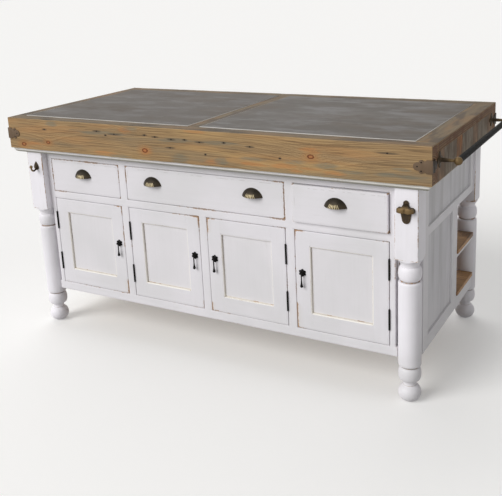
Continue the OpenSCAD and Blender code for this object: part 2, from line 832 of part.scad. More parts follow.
module towel_rail_brackets() {
  color(brass) for (side = [-1, 1]) difference() {
    translate([slab_right, side * rail_span / 2, rail_z]) rotate([0, 90, 0]) {
      bracket_plate();
      rotate_extrude($fn = fine) polygon(bracket_profile());
    }
    translate([rail_x, side * (rail_span / 2 - rail_socket), rail_z]) rotate([side * 90, 0, 0])
      cylinder(r = rail_radius, h = rail_ball_radius, $fn = fine);
  }
}

module towel_rail_bar() {
  length = rail_span - 2 * rail_socket;
  color(dark_iron) translate([rail_x, -length / 2, rail_z]) rotate([-90, 0, 0])
    cylinder(r = rail_radius, h = length, $fn = fine);
}

// ---- bottle opener and coat hook ----

block_face_y = leg_front_y - leg_size / 2;
lug_radius = 9.5;       // top lug of the opener
lug_rise = 4;           // middle of the lug above the hood's top
tail_radius = 13.5;     // round lower end of the opener
tail_half = 19;         // half the plate's width under the hood
tail_drop = 27;
screw_drop = 31;        // lower screw hole below the hood's mouth
screw_radius = 2.2;
shoulder_round = 9;     // rounding of the hood's upper corners
shoulder_lift = 6;
neck_fillet = 8;        // hollow between lug and shoulder
lobe_radius = 18;       // the two lobes of the hood, seen from above
lobe_offset = 12;
hood_lip = 2;           // height of the hood's upright lip

lug_lift = opener_hood_height + lug_rise;
lug_top = lug_lift + lug_radius;
shoulder_x = opener_half - shoulder_round;
neck_x = lug_radius + neck_fillet;
neck_lift = shoulder_lift + sqrt(pow(shoulder_round + neck_fillet, 2) - pow(shoulder_x - neck_x, 2));
neck_turn = atan2(neck_lift - shoulder_lift, neck_x - shoulder_x);

// the hood from the front, less the wall given: straight side, round shoulder, hollow neck
module hood_front(wall) {
  side_line = concat([[opener_half - wall, -cut]],
    arc([shoulder_x, shoulder_lift], shoulder_round - wall, 0, neck_turn, 8),
    arc([neck_x, neck_lift], neck_fillet + wall, neck_turn + 180, 180, 6),
    [[lug_radius - wall, lug_lift]]);
  for (side = [0, 1]) mirror([side, 0]) polygon(concat([[0, -cut]], side_line, [[0, lug_lift]]));
}

// the hood from above, less the wall given: two lobes
module hood_plan(wall) {
  for (side = [-1, 1]) translate([side * lobe_offset, -opener_reach + lobe_radius])
    circle(lobe_radius - wall, $fn = fine);
  translate([-opener_half + wall, -opener_reach + lobe_radius])
    square([2 * (opener_half - wall), opener_reach]);
}

// the hood's back from its lip up to the plate, less the wall given: distance from the block, height
function hood_back(wall) = [for (a = [0:9:90])
  [opener_plate + (opener_reach - opener_plate - wall) * cos(a),
   hood_lip + (opener_hood_height - hood_lip - wall) * sin(a)]];

module hood_form(wall, section) {
  intersection() {
    rotate([90, 0, 0]) linear_extrude(opener_reach + cut) hood_front(wall);
    rotate([90, 0, -90]) translate([0, 0, -opener_half - cut])
      linear_extrude(2 * (opener_half + cut)) polygon(section);
    translate([0, 0, -2 * cut]) linear_extrude(lug_top + 2 * cut) hood_plan(wall);
  }
}

module opener_hood() {
  outside = concat([[0, 0], [opener_reach, 0]], hood_back(0), [[opener_plate, lug_top], [0, lug_top]]);
  inside = concat([[opener_plate, -cut], [opener_reach - opener_wall, -cut]], hood_back(opener_wall));
  difference() {
    hood_form(0, outside);
    hood_form(opener_wall, inside);
  }
}

// lug above the hood and tapered tail below it
module opener_outline() {
  tail_turn = atan2(tail_drop, tail_half) - acos(tail_radius / norm([tail_half, tail_drop]));
  tangent = [tail_radius * cos(tail_turn), -tail_drop + tail_radius * sin(tail_turn)];
  translate([0, lug_lift]) circle(lug_radius, $fn = small);
  translate([0, -tail_drop]) circle(tail_radius, $fn = small);
  polygon([[-tail_half, cut], [-tail_half, 0], [-tangent[0], tangent[1]],
           tangent, [tail_half, 0], [tail_half, cut]]);
}

module bottle_opener() {
  color(brass) translate([leg_x, block_face_y, timber_height - opener_drop]) difference() {
    union() {
      rotate([90, 0, 0]) linear_extrude(opener_plate) opener_outline();
      opener_hood();
    }
    for (z = [lug_lift, -screw_drop]) translate([0, cut, z]) rotate([90, 0, 0])
      cylinder(r = screw_radius, h = opener_plate + 2 * cut, $fn = small);
  }
}

hook_leaf_radius = 12.5;  // round part of the hook's plate
hook_leaf_tip = 18;       // pointed top, above the plate's middle
hook_leaf_low = hook_leaf_radius - hook_leaf_tip;
hook_neck_half = 8.75;    // half the leaf's width where it starts to close to its tip
hook_neck_lift = 6;

module hook_outline() {
  translate([0, hook_leaf_low]) circle(hook_leaf_radius, $fn = small);
  polygon([[-hook_leaf_radius, hook_leaf_low], [-hook_neck_half, hook_neck_lift], [0, hook_leaf_tip],
           [hook_neck_half, hook_neck_lift], [hook_leaf_radius, hook_leaf_low]]);
}

module coat_hook() {
  color(brass) translate([-leg_x + hook_shift, block_face_y, timber_height - hook_drop]) {
    rotate([90, 0, 0]) linear_extrude(hook_plate) hook_outline();
    translate([0, -hook_root - hook_bend, hook_leaf_low]) {
      rotate([90, 0, 90]) rotate_extrude(angle = -180, $fn = small)
        translate([hook_bend, 0]) circle(hook_rod, $fn = small);
      translate([0, hook_bend, 0]) sphere(hook_root, $fn = small);
      translate([0, -hook_bend, 0]) cylinder(r = hook_rod, h = hook_ball, $fn = small);
      translate([0, -hook_bend, hook_ball]) sphere(hook_ball, $fn = small);
    }
  }
}

// ---- hinges ----

knuckle_length = hinge_height / hinge_knuckles;

// every second knuckle and its root, pin axis at the origin, leaf on the side given
module knuckles(side, first, play) {
  for (k = [first:2:hinge_knuckles - 1]) {
    low = k * knuckle_length + play;
    high = (k + 1) * knuckle_length - play;
    translate([0, 0, low]) cylinder(r = barrel_radius, h = high - low, $fn = small);
    board(sorted(side * (hinge_gap / 2 - leaf_thickness), side * hinge_gap / 2),
          [0, barrel_radius + leaf_relief + cut], [low, high]);
  }
}

module leaf_plate(side) {
  board(sorted(side * (hinge_gap / 2 - leaf_thickness), side * hinge_gap / 2),
        [barrel_radius + leaf_relief, barrel_radius + leaf_length], [0, hinge_height]);
}

// fixed leaf: the outer knuckles, and the pin through all of them
module frame_leaf(side) {
  leaf_plate(side);
  knuckles(side, 0, 0);
  cylinder(r = hinge_pin_radius, h = hinge_height, $fn = small);
}

module door_leaf(side) {
  difference() {
    union() {
      leaf_plate(side);
      knuckles(side, 1, metal_gap);
    }
    translate([0, 0, -cut])
      cylinder(r = hinge_pin_radius + pin_play, h = hinge_height + 2 * cut, $fn = small);
  }
}

function hinge_x(i) = door_hinge_side[i] < 0 ? door_openings[i][0] + hinge_gap / 2
                                             : door_openings[i][1] - hinge_gap / 2;

module hinge_frame_leaves() {
  color(dark_iron) for (i = [0:3], z = hinge_zs)
    translate([hinge_x(i), hinge_axis_y, z]) frame_leaf(door_hinge_side[i]);
}

// ---- doors ----

function door_x(i) = door_hinge_side[i] < 0
  ? [door_openings[i][0] + hinge_gap, door_openings[i][1] - door_gap]
  : [door_openings[i][0] + door_gap, door_openings[i][1] - hinge_gap];
function pull_x(i) = door_hinge_side[i] < 0 ? door_x(i)[1] - pull_inset : door_x(i)[0] + pull_inset;
door_y = [face_y, face_y + door_thickness];
window_z = [door_z[0] + door_bottom_rail, door_z[1] - door_top_rail];

module panel_in_door(i, reach) {
  board(shrunk(door_x(i), door_stile - reach), [face_y + panel_recess, face_y + panel_back],
        [window_z[0] - reach, window_z[1] + reach]);
}

module door_frame(i) {
  x = door_x(i);
  rail_x = shrunk(x, door_stile + joint_gap);
  color(white) difference() {
    union() {
      board([x[0], x[0] + door_stile], door_y, door_z);
      board([x[1] - door_stile, x[1]], door_y, door_z);
      board(rail_x, door_y, [window_z[1], door_z[1]]);
      board(rail_x, door_y, [door_z[0], window_z[0]]);
    }
    panel_in_door(i, panel_tongue + panel_play);
  }
}

module door_panel(i) {
  color(white) panel_in_door(i, panel_tongue);
}

ear_gap = eye_width / 2 + metal_gap;
rosette_rim = 2;        // flat rim round the rosette's dome
lobe_sink = 1;          // how far inside the disc's edge the middle of a lobe lies

// section of a spherical cap of radius r and height h
function cap(r, h) = let (big = (r * r + h * h) / (2 * h)) arc([0, h - big], big, acos(r / big), 90, 6);

module rosette() {
  rotate([90, 0, 0]) {
    linear_extrude(rosette_edge) union() {
      circle(rosette_radius, $fn = small);
      for (a = [30:60:330]) rotate(a) translate([rosette_radius - lobe_sink, 0])
        circle(rosette_lobe, $fn = small);
    }
    translate([0, 0, rosette_edge]) rotate_extrude($fn = small)
      polygon(concat([[0, 0]], cap(rosette_radius - rosette_rim, rosette_dome)));
  }
}

// two ears and the pin that the drop swings on
module drop_ears() {
  for (side = [-1, 1]) {
    x = sorted(side * ear_gap, side * (ear_gap + ear_thickness));
    board(x, [-pivot_reach, -rosette_edge], [-eye_radius, eye_radius]);
    translate([x[0], -pivot_reach, 0]) rotate([0, 90, 0])
      cylinder(r = eye_radius, h = ear_thickness, $fn = small);
  }
  translate([-ear_gap - ear_thickness, -pivot_reach, 0]) rotate([0, 90, 0])
    cylinder(r = drop_pin_radius, h = 2 * (ear_gap + ear_thickness), $fn = small);
}

module door_fittings(i) {
  side = -door_hinge_side[i];
  color(dark_iron) {
    for (z = hinge_zs) translate([hinge_x(i), hinge_axis_y, z]) door_leaf(side);
    translate([pull_x(i), face_y, pull_height]) {
      rosette();
      drop_ears();
    }
  }
}

drop_bulb = 17.5;       // height of the drop's swelling, from its foot
drop_swell = 0.6;       // how much the stem widens where the swelling starts

// the drop, from its foot up to the eye
function drop_profile() = concat(
  [[0, -drop_length]],
  arc([0, -drop_length + drop_tip_radius], drop_tip_radius, -70, 30, 8),
  [[drop_stem_radius + drop_swell, -drop_length + drop_bulb], [drop_stem_radius, -drop_length / 2]],
  [[drop_stem_radius, -eye_radius + 1], [0, -eye_radius + 1]]);

module door_drop(i) {
  color(dark_iron) translate([pull_x(i), pivot_y, pull_height]) difference() {
    union() {
      rotate_extrude($fn = small) polygon(drop_profile());
      translate([-eye_width / 2, 0, 0]) rotate([0, 90, 0])
        cylinder(r = eye_radius, h = eye_width, $fn = small);
    }
    translate([-eye_width, 0, 0]) rotate([0, 90, 0])
      cylinder(r = drop_pin_radius + pin_play, h = 2 * eye_width, $fn = small);
  }
}

// ---- drawers ----

drawer_shift = [0, 0, -right_drawer_open];
box_front_y = face_y + door_thickness;
drawer_length = carcass_back - drawer_back_room - box_front_y;
drawer_back_y = [box_front_y + drawer_length - drawer_side, box_front_y + drawer_length];
side_z = [rail_tops[1] + drawer_running_gap, drawer_top - drawer_head_room];
bottom_z = [side_z[0] + drawer_bottom_lift, side_z[0] + drawer_bottom_lift + drawer_bottom];
back_z = [bottom_z[1] + joint_gap, side_z[1]];
pin_pitch = (back_z[1] - back_z[0]) / (drawer_pins + 1);
pin_slope = 1 / 7;      // slope of a dovetail's sides

function box_x(i) = shrunk(drawer_openings[i], drawer_play);

// a drawer's bottom, let into its sides and its front; the spare room all round makes it a cutter
module drawer_base(i, spare) {
  board(shrunk(box_x(i), drawer_side - drawer_groove - spare),
        [box_front_y - drawer_groove - spare, drawer_back_y[1] + spare], shrunk(bottom_z, -spare));
}

// the pins of a drawer's back as its side shows them, a half one at both ends, widest on the inside
module pin_outlines(spare) {
  y = shrunk(drawer_back_y, -spare);
  z = shrunk(back_z, -spare);
  wide = pin_pitch / 4 + spare;
  narrow = wide - pin_slope * (y[1] - y[0]);
  intersection() {
    translate([y[0], z[0]]) square([y[1] - y[0], z[1] - z[0]]);
    for (i = [0:drawer_pins + 1]) translate([0, back_z[0] + i * pin_pitch])
      polygon([[y[0], -wide], [y[1], -narrow], [y[1], narrow], [y[0], wide]]);
  }
}

module back_pins(i, spare) {
  x = shrunk(box_x(i), -spare);
  translate([x[0], 0, 0]) rotate([90, 0, 90]) linear_extrude(x[1] - x[0]) pin_outlines(spare);
}

module drawer_front(i) {
  color(white) translate([0, drawer_shift[i], 0]) difference() {
    board(shrunk(drawer_openings[i], door_gap), [face_y, box_front_y], drawer_z);
    drawer_base(i, joint_gap);
  }
}

// sides on the guides, the back dovetailed through them, the bottom in their grooves
module drawer_box(i) {
  x = box_x(i);
  color(bare_wood) translate([0, drawer_shift[i], 0]) {
    difference() {
      for (left = [x[0], x[1] - drawer_side])
        board([left, left + drawer_side], [box_front_y, drawer_back_y[1]], side_z);
      drawer_base(i, joint_gap);
      back_pins(i, joint_gap);
    }
    union() {
      board(shrunk(x, drawer_side + joint_gap), drawer_back_y, back_z);
      back_pins(i, 0);
    }
    drawer_base(i, 0);
  }
}

// the hood is part of a sphere: its arch on the drawer is part of a circle, cut above its middle
cup_half = cup_width / 2;
cup_radius = (cup_half * cup_half + cup_height * cup_height) / (2 * cup_height);
cup_drop = cup_radius - cup_height;    // middle of the circle below the lower edge
cup_sphere = (cup_radius * cup_radius + cup_reach * cup_reach) / (2 * cup_reach);
cup_rim = 3;            // width of the flat rim on the drawer
cup_rim_thickness = 1.5;
cup_rim_proud = 0.5;    // how far the rim shows round the hood

// a rib grows out of the hood at cup_rib_start from its top and runs past its lower edge
cup_rib_start = 22;
cup_rib_lead = 8;       // angle by which a rib runs on inside the hood's wall and past its edge
cup_tilt = asin((cup_sphere - cup_reach) / cup_sphere);
cup_edge = acos(cup_drop / cup_sphere) - cup_tilt;
cup_rib_sink = cup_rib_proud / (cos(cup_rib_start) - cos(cup_edge));
cup_rib_path = cup_sphere + cup_rib_sink * cos(cup_rib_start) - cup_rib_radius;

module cup_ribs() {
  rotate([cup_tilt, 0, 0]) for (i = [0:cup_rib_count - 1])
    rotate([0, 0, (i - (cup_rib_count - 1) / 2) * cup_rib_step]) translate([0, 0, -cup_rib_sink])
      rotate([180, -90, 0]) rotate([0, 0, cup_rib_start - cup_rib_lead])
        rotate_extrude(angle = cup_edge - cup_rib_start + 2 * cup_rib_lead, $fn = fine)
          translate([cup_rib_path, 0]) circle(cup_rib_radius, $fn = small);
}

// the hood with its ribs, open below, on a flat rim
module cup_pull(x) {
  translate([x, face_y, cup_z]) difference() {
    translate([0, 0, -cup_drop]) {
      difference() {
        translate([0, cup_sphere - cup_reach, 0]) {
          sphere(cup_sphere, $fn = fine);
          cup_ribs();
        }
        translate([0, cup_sphere - cup_reach, 0]) sphere(cup_sphere - cup_wall, $fn = fine);
        translate([-2 * cup_sphere, 0, -2 * cup_sphere]) cube(4 * cup_sphere);
      }
      rotate([90, 0, 0]) linear_extrude(cup_rim_thickness) difference() {
        circle(cup_radius + cup_rim_proud, $fn = fine);
        circle(cup_radius - cup_rim, $fn = fine);
      }
    }
    translate([-2 * cup_sphere, -2 * cup_sphere, -4 * cup_sphere]) cube(4 * cup_sphere);
  }
}

module drawer_pulls(i) {
  middle = (drawer_openings[i][0] + drawer_openings[i][1]) / 2;
  color(brass) translate([0, drawer_shift[i], 0]) {
    if (i == 1) for (side = [-1, 1]) cup_pull(middle + side * cup_spread);
    else cup_pull(middle - cup_shift);
  }
}

// ---- the pieces ----

placed() leg(-leg_x, leg_front_y);  // leg_front_left
placed() leg(leg_x, leg_front_y);  // leg_front_right
placed() leg(-leg_x, leg_rear_y);  // leg_rear_left
placed() leg(leg_x, leg_rear_y);  // leg_rear_right
placed() face_frame_rails();
placed() face_frame_stiles();
placed() corner_returns();
placed() mirror([1, 0, 0]) side_frame();  // side_frame_left
placed() side_frame();  // side_frame_right
placed() side_rear_panels();
placed() rear_frame();
placed() cupboard_floor();
placed() partitions();
placed() cupboard_back();
placed() cupboard_shelves();
placed() drawer_deck();
placed() drawer_guides();
placed() drawer_kickers();
placed() rear_shelves();
placed() rear_shelf_rails();
placed() rear_dividers();
placed() cornice();
placed() core_planks();
placed() front_board();
placed() rear_board();
placed() end_boards();
placed() divider_board();
placed() zinc_beds();
placed() zinc_sheets();
placed() corner_straps();
placed() hinge_frame_leaves();
placed() towel_rail_brackets();
placed() towel_rail_bar();
placed() bottle_opener();
placed() coat_hook();
placed() door_frame(0);  // door_1_frame
placed() door_panel(0);  // door_1_panel
placed() door_fittings(0);  // door_1_fittings
placed() door_drop(0);  // door_1_drop
placed() door_frame(1);  // door_2_frame
placed() door_panel(1);  // door_2_panel
placed() door_fittings(1);  // door_2_fittings
placed() door_drop(1);  // door_2_drop
placed() door_frame(2);  // door_3_frame
placed() door_panel(2);  // door_3_panel
placed() door_fittings(2);  // door_3_fittings
placed() door_drop(2);  // door_3_drop
placed() door_frame(3);  // door_4_frame
placed() door_panel(3);  // door_4_panel
placed() door_fittings(3);  // door_4_fittings
placed() door_drop(3);  // door_4_drop
placed() drawer_front(0);  // left_drawer_front
placed() drawer_box(0);  // left_drawer_box
placed() drawer_pulls(0);  // left_drawer_pull
placed() drawer_front(1);  // middle_drawer_front
placed() drawer_box(1);  // middle_drawer_box
placed() drawer_pulls(1);  // middle_drawer_pulls
placed() drawer_front(2);  // right_drawer_front
placed() drawer_box(2);  // right_drawer_box
placed() drawer_pulls(2);  // right_drawer_pull
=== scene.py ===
import json
import math
import random

import bmesh
import bpy
from mathutils import Matrix, Vector, noise

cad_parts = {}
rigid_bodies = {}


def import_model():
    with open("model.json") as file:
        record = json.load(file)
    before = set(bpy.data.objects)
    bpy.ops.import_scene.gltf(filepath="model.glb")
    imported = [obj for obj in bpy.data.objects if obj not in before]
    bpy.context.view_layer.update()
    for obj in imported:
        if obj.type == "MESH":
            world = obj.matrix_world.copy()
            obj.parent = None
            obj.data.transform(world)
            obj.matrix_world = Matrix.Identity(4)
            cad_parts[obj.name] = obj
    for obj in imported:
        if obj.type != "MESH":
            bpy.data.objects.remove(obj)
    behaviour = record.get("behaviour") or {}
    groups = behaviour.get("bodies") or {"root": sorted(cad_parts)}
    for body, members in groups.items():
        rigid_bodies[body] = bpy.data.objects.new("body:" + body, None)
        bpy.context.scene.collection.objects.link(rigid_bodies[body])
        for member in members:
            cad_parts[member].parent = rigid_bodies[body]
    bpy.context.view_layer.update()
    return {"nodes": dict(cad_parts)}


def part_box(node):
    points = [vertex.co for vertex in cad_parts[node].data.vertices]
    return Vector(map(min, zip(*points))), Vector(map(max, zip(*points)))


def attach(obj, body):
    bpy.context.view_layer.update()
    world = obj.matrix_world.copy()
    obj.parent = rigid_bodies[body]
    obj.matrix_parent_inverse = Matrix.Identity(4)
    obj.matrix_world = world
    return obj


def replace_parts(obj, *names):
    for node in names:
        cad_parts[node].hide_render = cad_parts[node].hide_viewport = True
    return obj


# The kitchen island's looks: worn white paint on the base, reclaimed pine and zinc on the
# worktop, dark old brass and iron for what is screwed on. Sizes are in metres.

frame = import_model()
MM = 0.001
JOINT = 0.6 * MM            # boards that lie nearer than this are joined
CREAM_WIDTH = 9 * MM        # the inner sides of a frame are narrower than this
LIP_ROUND = 3 * MM          # rounding of a frame's edge towards its panel
PANEL_TONGUE = 6 * MM       # how far a panel reaches into its frame
UNEVEN_DEPTH = 2 * MM       # about how deep the arrises of the long boards are worn in
FOLD_HIGHLIGHT = 3 * MM        # width of the border round a zinc sheet that takes a painted highlight
CUP_SPHERE = 49.87 * MM     # radius of the sphere that a cup pull's hood is part of
CUP_REACH = 25 * MM         # how far the hood stands out from the drawer
CUP_DROP = 10.2 * MM        # how far the sphere's middle lies below the hood's lower edge
CUP_RIB_STEP = math.radians(10)
CAST_BENDS = (25, 110)      # curvature per metre at which a ridge of cast metal begins, and is full
TURNED_BENDS = (6, 60)      # the same on a turned leg
board_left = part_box("front_board")[0].x
board_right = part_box("front_board")[1].x
board_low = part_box("front_board")[0].z
CORNICE_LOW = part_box("cornice")[0].z


# ---- shader helpers ----

def shade(red, green, blue):
    """A colour as it looks on a screen, 0 to 255, turned into the linear colour that a shader takes."""
    steps = (value / 255 for value in (red, green, blue))
    linear = [s / 12.92 if s <= 0.04045 else ((s + 0.055) / 1.055) ** 2.4 for s in steps]
    return (*linear, 1)


def put(tree, kind, feeds=None, **settings):
    """Adds a shader node. feeds gives its inputs, each a plain value or another node's output."""
    node = tree.nodes.new("ShaderNode" + kind)
    for name, value in settings.items():
        setattr(node, name, value)
    fill(tree, node, feeds or {})
    return node


def fill(tree, node, feeds):
    """Gives a node's inputs their values, or links them to other nodes' outputs."""
    for name, value in feeds.items():
        socket = node.inputs[name]
        if isinstance(value, bpy.types.NodeSocket):
            tree.links.new(value, socket)
        else:
            socket.default_value = value


def sums(tree, operation, *values):
    """The result of a Math node."""
    return put(tree, "Math", dict(enumerate(values)), operation=operation).outputs[0]


def ease(tree, value, start, end, low=0.0, high=1.0):
    """A soft step from low to high while value goes from start to end."""
    feeds = {"Value": value, "From Min": start, "From Max": end, "To Min": low, "To Max": high}
    return put(tree, "MapRange", feeds, interpolation_type="SMOOTHSTEP").outputs[0]


def blend(tree, share, below, above):
    """One colour over another: share is how much of the upper one shows."""
    node = put(tree, "Mix", data_type="RGBA")
    fill(tree, node, {0: share, 6: below, 7: above})
    return node.outputs[2]


def cloud(tree, vector, scale, detail, rough=0.5):
    """Soft noise from 0 to 1."""
    feeds = {"Vector": vector, "Scale": scale, "Detail": detail, "Roughness": rough}
    return put(tree, "TexNoise", feeds).outputs[0]


def stretched(tree, vector, along, across, deep=None, shift=(0, 0, 0)):
    """Coordinates scaled differently along and across a board, so that noise in them is drawn out."""
    scale = (along, across, across if deep is None else deep)
    return put(tree, "Mapping", {"Vector": vector, "Scale": scale, "Location": shift}).outputs[0]


def attribute(tree, name, output):
    """One output of a named attribute of the mesh."""
    return put(tree, "Attribute", attribute_name=name).outputs[output]


def places(tree):
    """Where each point lies in its object's own coordinates, in metres."""
    return put(tree, "TexCoord").outputs["Object"]


def effect(name, takes, gives):
    """A new node group with its named inputs and outputs, and the two ends to build between."""
    group = bpy.data.node_groups.new(name, "ShaderNodeTree")
    for label, (kind, usual) in takes.items():
        socket = group.interface.new_socket(label, in_out="INPUT", socket_type="NodeSocket" + kind)
        if usual is not None:
            socket.default_value = usual
    for label, kind in gives.items():
        group.interface.new_socket(label, in_out="OUTPUT", socket_type="NodeSocket" + kind)
    entry = group.nodes.new("NodeGroupInput").outputs
    leave = group.nodes.new("NodeGroupOutput")
    return group, entry, leave


def use(tree, group, feeds):
    """Places a node group with its own values, and gives its outputs."""
    node = tree.nodes.new("ShaderNodeGroup")
    node.node_tree = group
    fill(tree, node, feeds)
    return node.outputs


# ---- effects that several finishes share ----

def make_edge_wear():
    """Finish rubbed off along edges: Bare is 1 where nothing is left of it, Rim is the worn border."""
    takes = {"Amount": ("Float", 0.5), "Ragged": ("Float", 1.0), "Patches": ("Float", 1.0)}
    tree, take, leave = effect("edge wear", takes, {"Bare": "Float", "Rim": "Float"})
    where = places(tree)
    edge = attribute(tree, "wear", "Fac")
    patches = sums(tree, "SUBTRACT", cloud(tree, where, 7, 3, 0.6), 0.5)
    ragged = sums(tree, "SUBTRACT", cloud(tree, where, 130, 3, 0.6), 0.5)
    level = sums(tree, "MULTIPLY_ADD", patches, sums(tree, "MULTIPLY", take["Patches"], 1.6), edge)
    level = sums(tree, "MULTIPLY_ADD", ragged, take["Ragged"], level)
    level = sums(tree, "ADD", level, sums(tree, "SUBTRACT", take["Amount"], 1.0))
    on_edge = ease(tree, edge, 0.02, 0.2)
    bare = sums(tree, "MULTIPLY", ease(tree, level, 0.5, 0.62), on_edge)
    rim = sums(tree, "MULTIPLY", ease(tree, level, 0.3, 0.6), on_edge)
    fill(tree, leave, {"Bare": bare, "Rim": rim})
    return tree


def make_grain():
    """Growth rings and fibres of a board, in the board's own measure along its length."""
    takes = {"Vector": ("Vector", None), "Spacing": ("Float", 0.006), "Waviness": ("Float", 0.02),
             "Push": ("Float", 0.0)}
    gives = {"Late wood": "Float", "Fibre": "Float", "Tone": "Float"}
    tree, take, leave = effect("board grain", takes, gives)
    slow = stretched(tree, take["Vector"], 1.3, 7)
    drift = put(tree, "TexNoise", {"Vector": slow, "Scale": 1.0, "Detail": 2.0}).outputs[1]
    drift = put(tree, "VectorMath", {0: drift, 1: (0.5, 0.5, 0.5)}, operation="SUBTRACT").outputs[0]
    drift = put(tree, "VectorMath", {0: drift, "Scale": take["Waviness"]}, operation="SCALE").outputs[0]
    place = put(tree, "VectorMath", {0: take["Vector"], 1: drift}, operation="ADD").outputs[0]
    across = put(tree, "VectorMath", {0: place, 1: (0, 1, 1)}, operation="MULTIPLY").outputs[0]
    radius = put(tree, "VectorMath", {0: across}, operation="LENGTH").outputs["Value"]
    radius = sums(tree, "ADD", radius, take["Push"])
    years = sums(tree, "DIVIDE", radius, take["Spacing"])
    uneven = cloud(tree, put(tree, "CombineXYZ", {0: sums(tree, "MULTIPLY", years, 0.45)}).outputs[0], 1.0, 2)
    years = sums(tree, "MULTIPLY_ADD", uneven, 3.0, years)
    year = sums(tree, "FRACT", years)
    late = sums(tree, "MULTIPLY", ease(tree, year, 0.35, 0.85), ease(tree, year, 1.0, 0.9))
    fibre = cloud(tree, stretched(tree, take["Vector"], 6, 420), 1.0, 3, 0.6)
    tone = cloud(tree, stretched(tree, take["Vector"], 1.1, 16), 1.0, 2)
    fill(tree, leave, {"Late wood": late, "Fibre": fibre, "Tone": tone})
    return tree


def make_knot():
    """A knot through a board's thickness: the rings bend round it, and it has a dark rim."""
    takes = {"Vector": ("Vector", None), "Middle": ("Vector", None), "Radius": ("Float", 0.006)}
    gives = {"Push": "Float", "Rim": "Float", "Core": "Float", "Halo": "Float"}
    tree, take, leave = effect("knot", takes, gives)
    away = put(tree, "VectorMath", {0: take["Vector"], 1: take["Middle"]}, operation="SUBTRACT").outputs[0]
    away = put(tree, "VectorMath", {0: away, 1: (0.62, 0, 1)}, operation="MULTIPLY").outputs[0]
    gap = put(tree, "VectorMath", {0: away}, operation="LENGTH").outputs["Value"]
    gap = sums(tree, "DIVIDE", gap, take["Radius"])
    uneven = sums(tree, "SUBTRACT", cloud(tree, take["Vector"], 160, 2), 0.5)
    gap = sums(tree, "MULTIPLY_ADD", uneven, 0.5, gap)
    bulge = sums(tree, "EXPONENT", sums(tree, "MULTIPLY", sums(tree, "POWER", gap, 1.3), -0.35))
    push = sums(tree, "MULTIPLY", sums(tree, "MULTIPLY", bulge, take["Radius"]), 1.8)
    rim = sums(tree, "MULTIPLY", ease(tree, gap, 0.55, 0.85), ease(tree, gap, 1.35, 1.0))
    fill(tree, leave, {"Push": push, "Rim": rim, "Core": ease(tree, gap, 1.0, 0.7),
                       "Halo": ease(tree, gap, 4.5, 1.0)})
    return tree


def make_nail_mark():
    """An old nail's hole, with the dark stain that the iron has drawn along the fibres."""
    takes = {"Vector": ("Vector", None), "Middle": ("Vector", None), "Length": ("Float", 0.02)}
    tree, take, leave = effect("nail mark", takes, {"Hole": "Float", "Stain": "Float"})
    away = put(tree, "VectorMath", {0: take["Vector"], 1: take["Middle"]}, operation="SUBTRACT").outputs[0]
    near = put(tree, "VectorMath", {0: away, 1: (0.7, 0, 1)}, operation="MULTIPLY").outputs[0]
    near = put(tree, "VectorMath", {0: near}, operation="LENGTH").outputs["Value"]
    parts = put(tree, "SeparateXYZ", {0: away}).outputs
    along = sums(tree, "DIVIDE", parts[0], take["Length"])
    across = sums(tree, "DIVIDE", parts[2], 4 * MM)
    wide = sums(tree, "ADD", sums(tree, "MULTIPLY", along, along), sums(tree, "MULTIPLY", across, across))
    fill(tree, leave, {"Hole": ease(tree, near, 3.4 * MM, 1.6 * MM), "Stain": ease(tree, wide, 1.6, 0.0)})
    return tree


def make_patch():
    """A stain of its own length and height on a board's face, with a border broken by the fibres."""
    takes = {"Vector": ("Vector", None), "Middle": ("Vector", None), "Size": ("Vector", None)}
    tree, take, leave = effect("stain patch", takes, {"Mask": "Float"})
    away = put(tree, "VectorMath", {0: take["Vector"], 1: take["Middle"]}, operation="SUBTRACT").outputs[0]
    away = put(tree, "VectorMath", {0: away, 1: take["Size"]}, operation="DIVIDE").outputs[0]
    flat = put(tree, "VectorMath", {0: away, 1: (1, 0, 1)}, operation="MULTIPLY").outputs[0]
    gap = put(tree, "VectorMath", {0: flat}, operation="LENGTH").outputs["Value"]
    rough = cloud(tree, stretched(tree, take["Vector"], 14, 90), 1.0, 3, 0.6)
    gap = sums(tree, "MULTIPLY_ADD", sums(tree, "SUBTRACT", rough, 0.5), 2.2, gap)
    fill(tree, leave, {"Mask": ease(tree, gap, 1.25, 0.35)})
    return tree


def make_border():
    """How far a point is from the sides and the ends of its whole panel, and on which half it lies."""
    gives = {"Side": "Float", "End": "Float", "Free": "Float", "Low": "Float"}
    tree, _, leave = effect("border", {}, gives)
    spot = put(tree, "SeparateXYZ", {0: attribute(tree, "spot", "Vector")}).outputs
    half = put(tree, "SeparateXYZ", {0: attribute(tree, "half", "Vector")}).outputs
    side = sums(tree, "SUBTRACT", half[0], sums(tree, "ABSOLUTE", spot[0]))
    end = sums(tree, "SUBTRACT", half[1], sums(tree, "ABSOLUTE", spot[1]))
    free = sums(tree, "MULTIPLY", spot[0], half[2])
    fill(tree, leave, {"Side": side, "End": end, "Free": ease(tree, free, -0.02, 0.02),
                       "Low": ease(tree, spot[1], 0.02, -0.02)})
    return tree


EDGE_WEAR = make_edge_wear()
BORDER = make_border()
GRAIN = make_grain()
KNOT = make_knot()
NAIL_MARK = make_nail_mark()
PATCH = make_patch()


# ---- finishes ----

def finish_of(name):
    """A new material, its node tree and its surface shader."""
    material = bpy.data.materials.new(name)
    material.use_nodes = True
    tree = material.node_tree
    surface = tree.nodes["Principled BSDF"]
    return material, tree, surface


def relief(tree, surface, height, depth, under=None):
    """Bump of the given depth in metres, laid over another one if there is one."""
    node = put(tree, "Bump", {"Height": height, "Distance": depth, "Strength": 1.0})
    if under is not None:
        tree.links.new(under, node.inputs["Normal"])
    tree.links.new(node.outputs[0], surface.inputs["Normal"])
    return node.outputs[0]


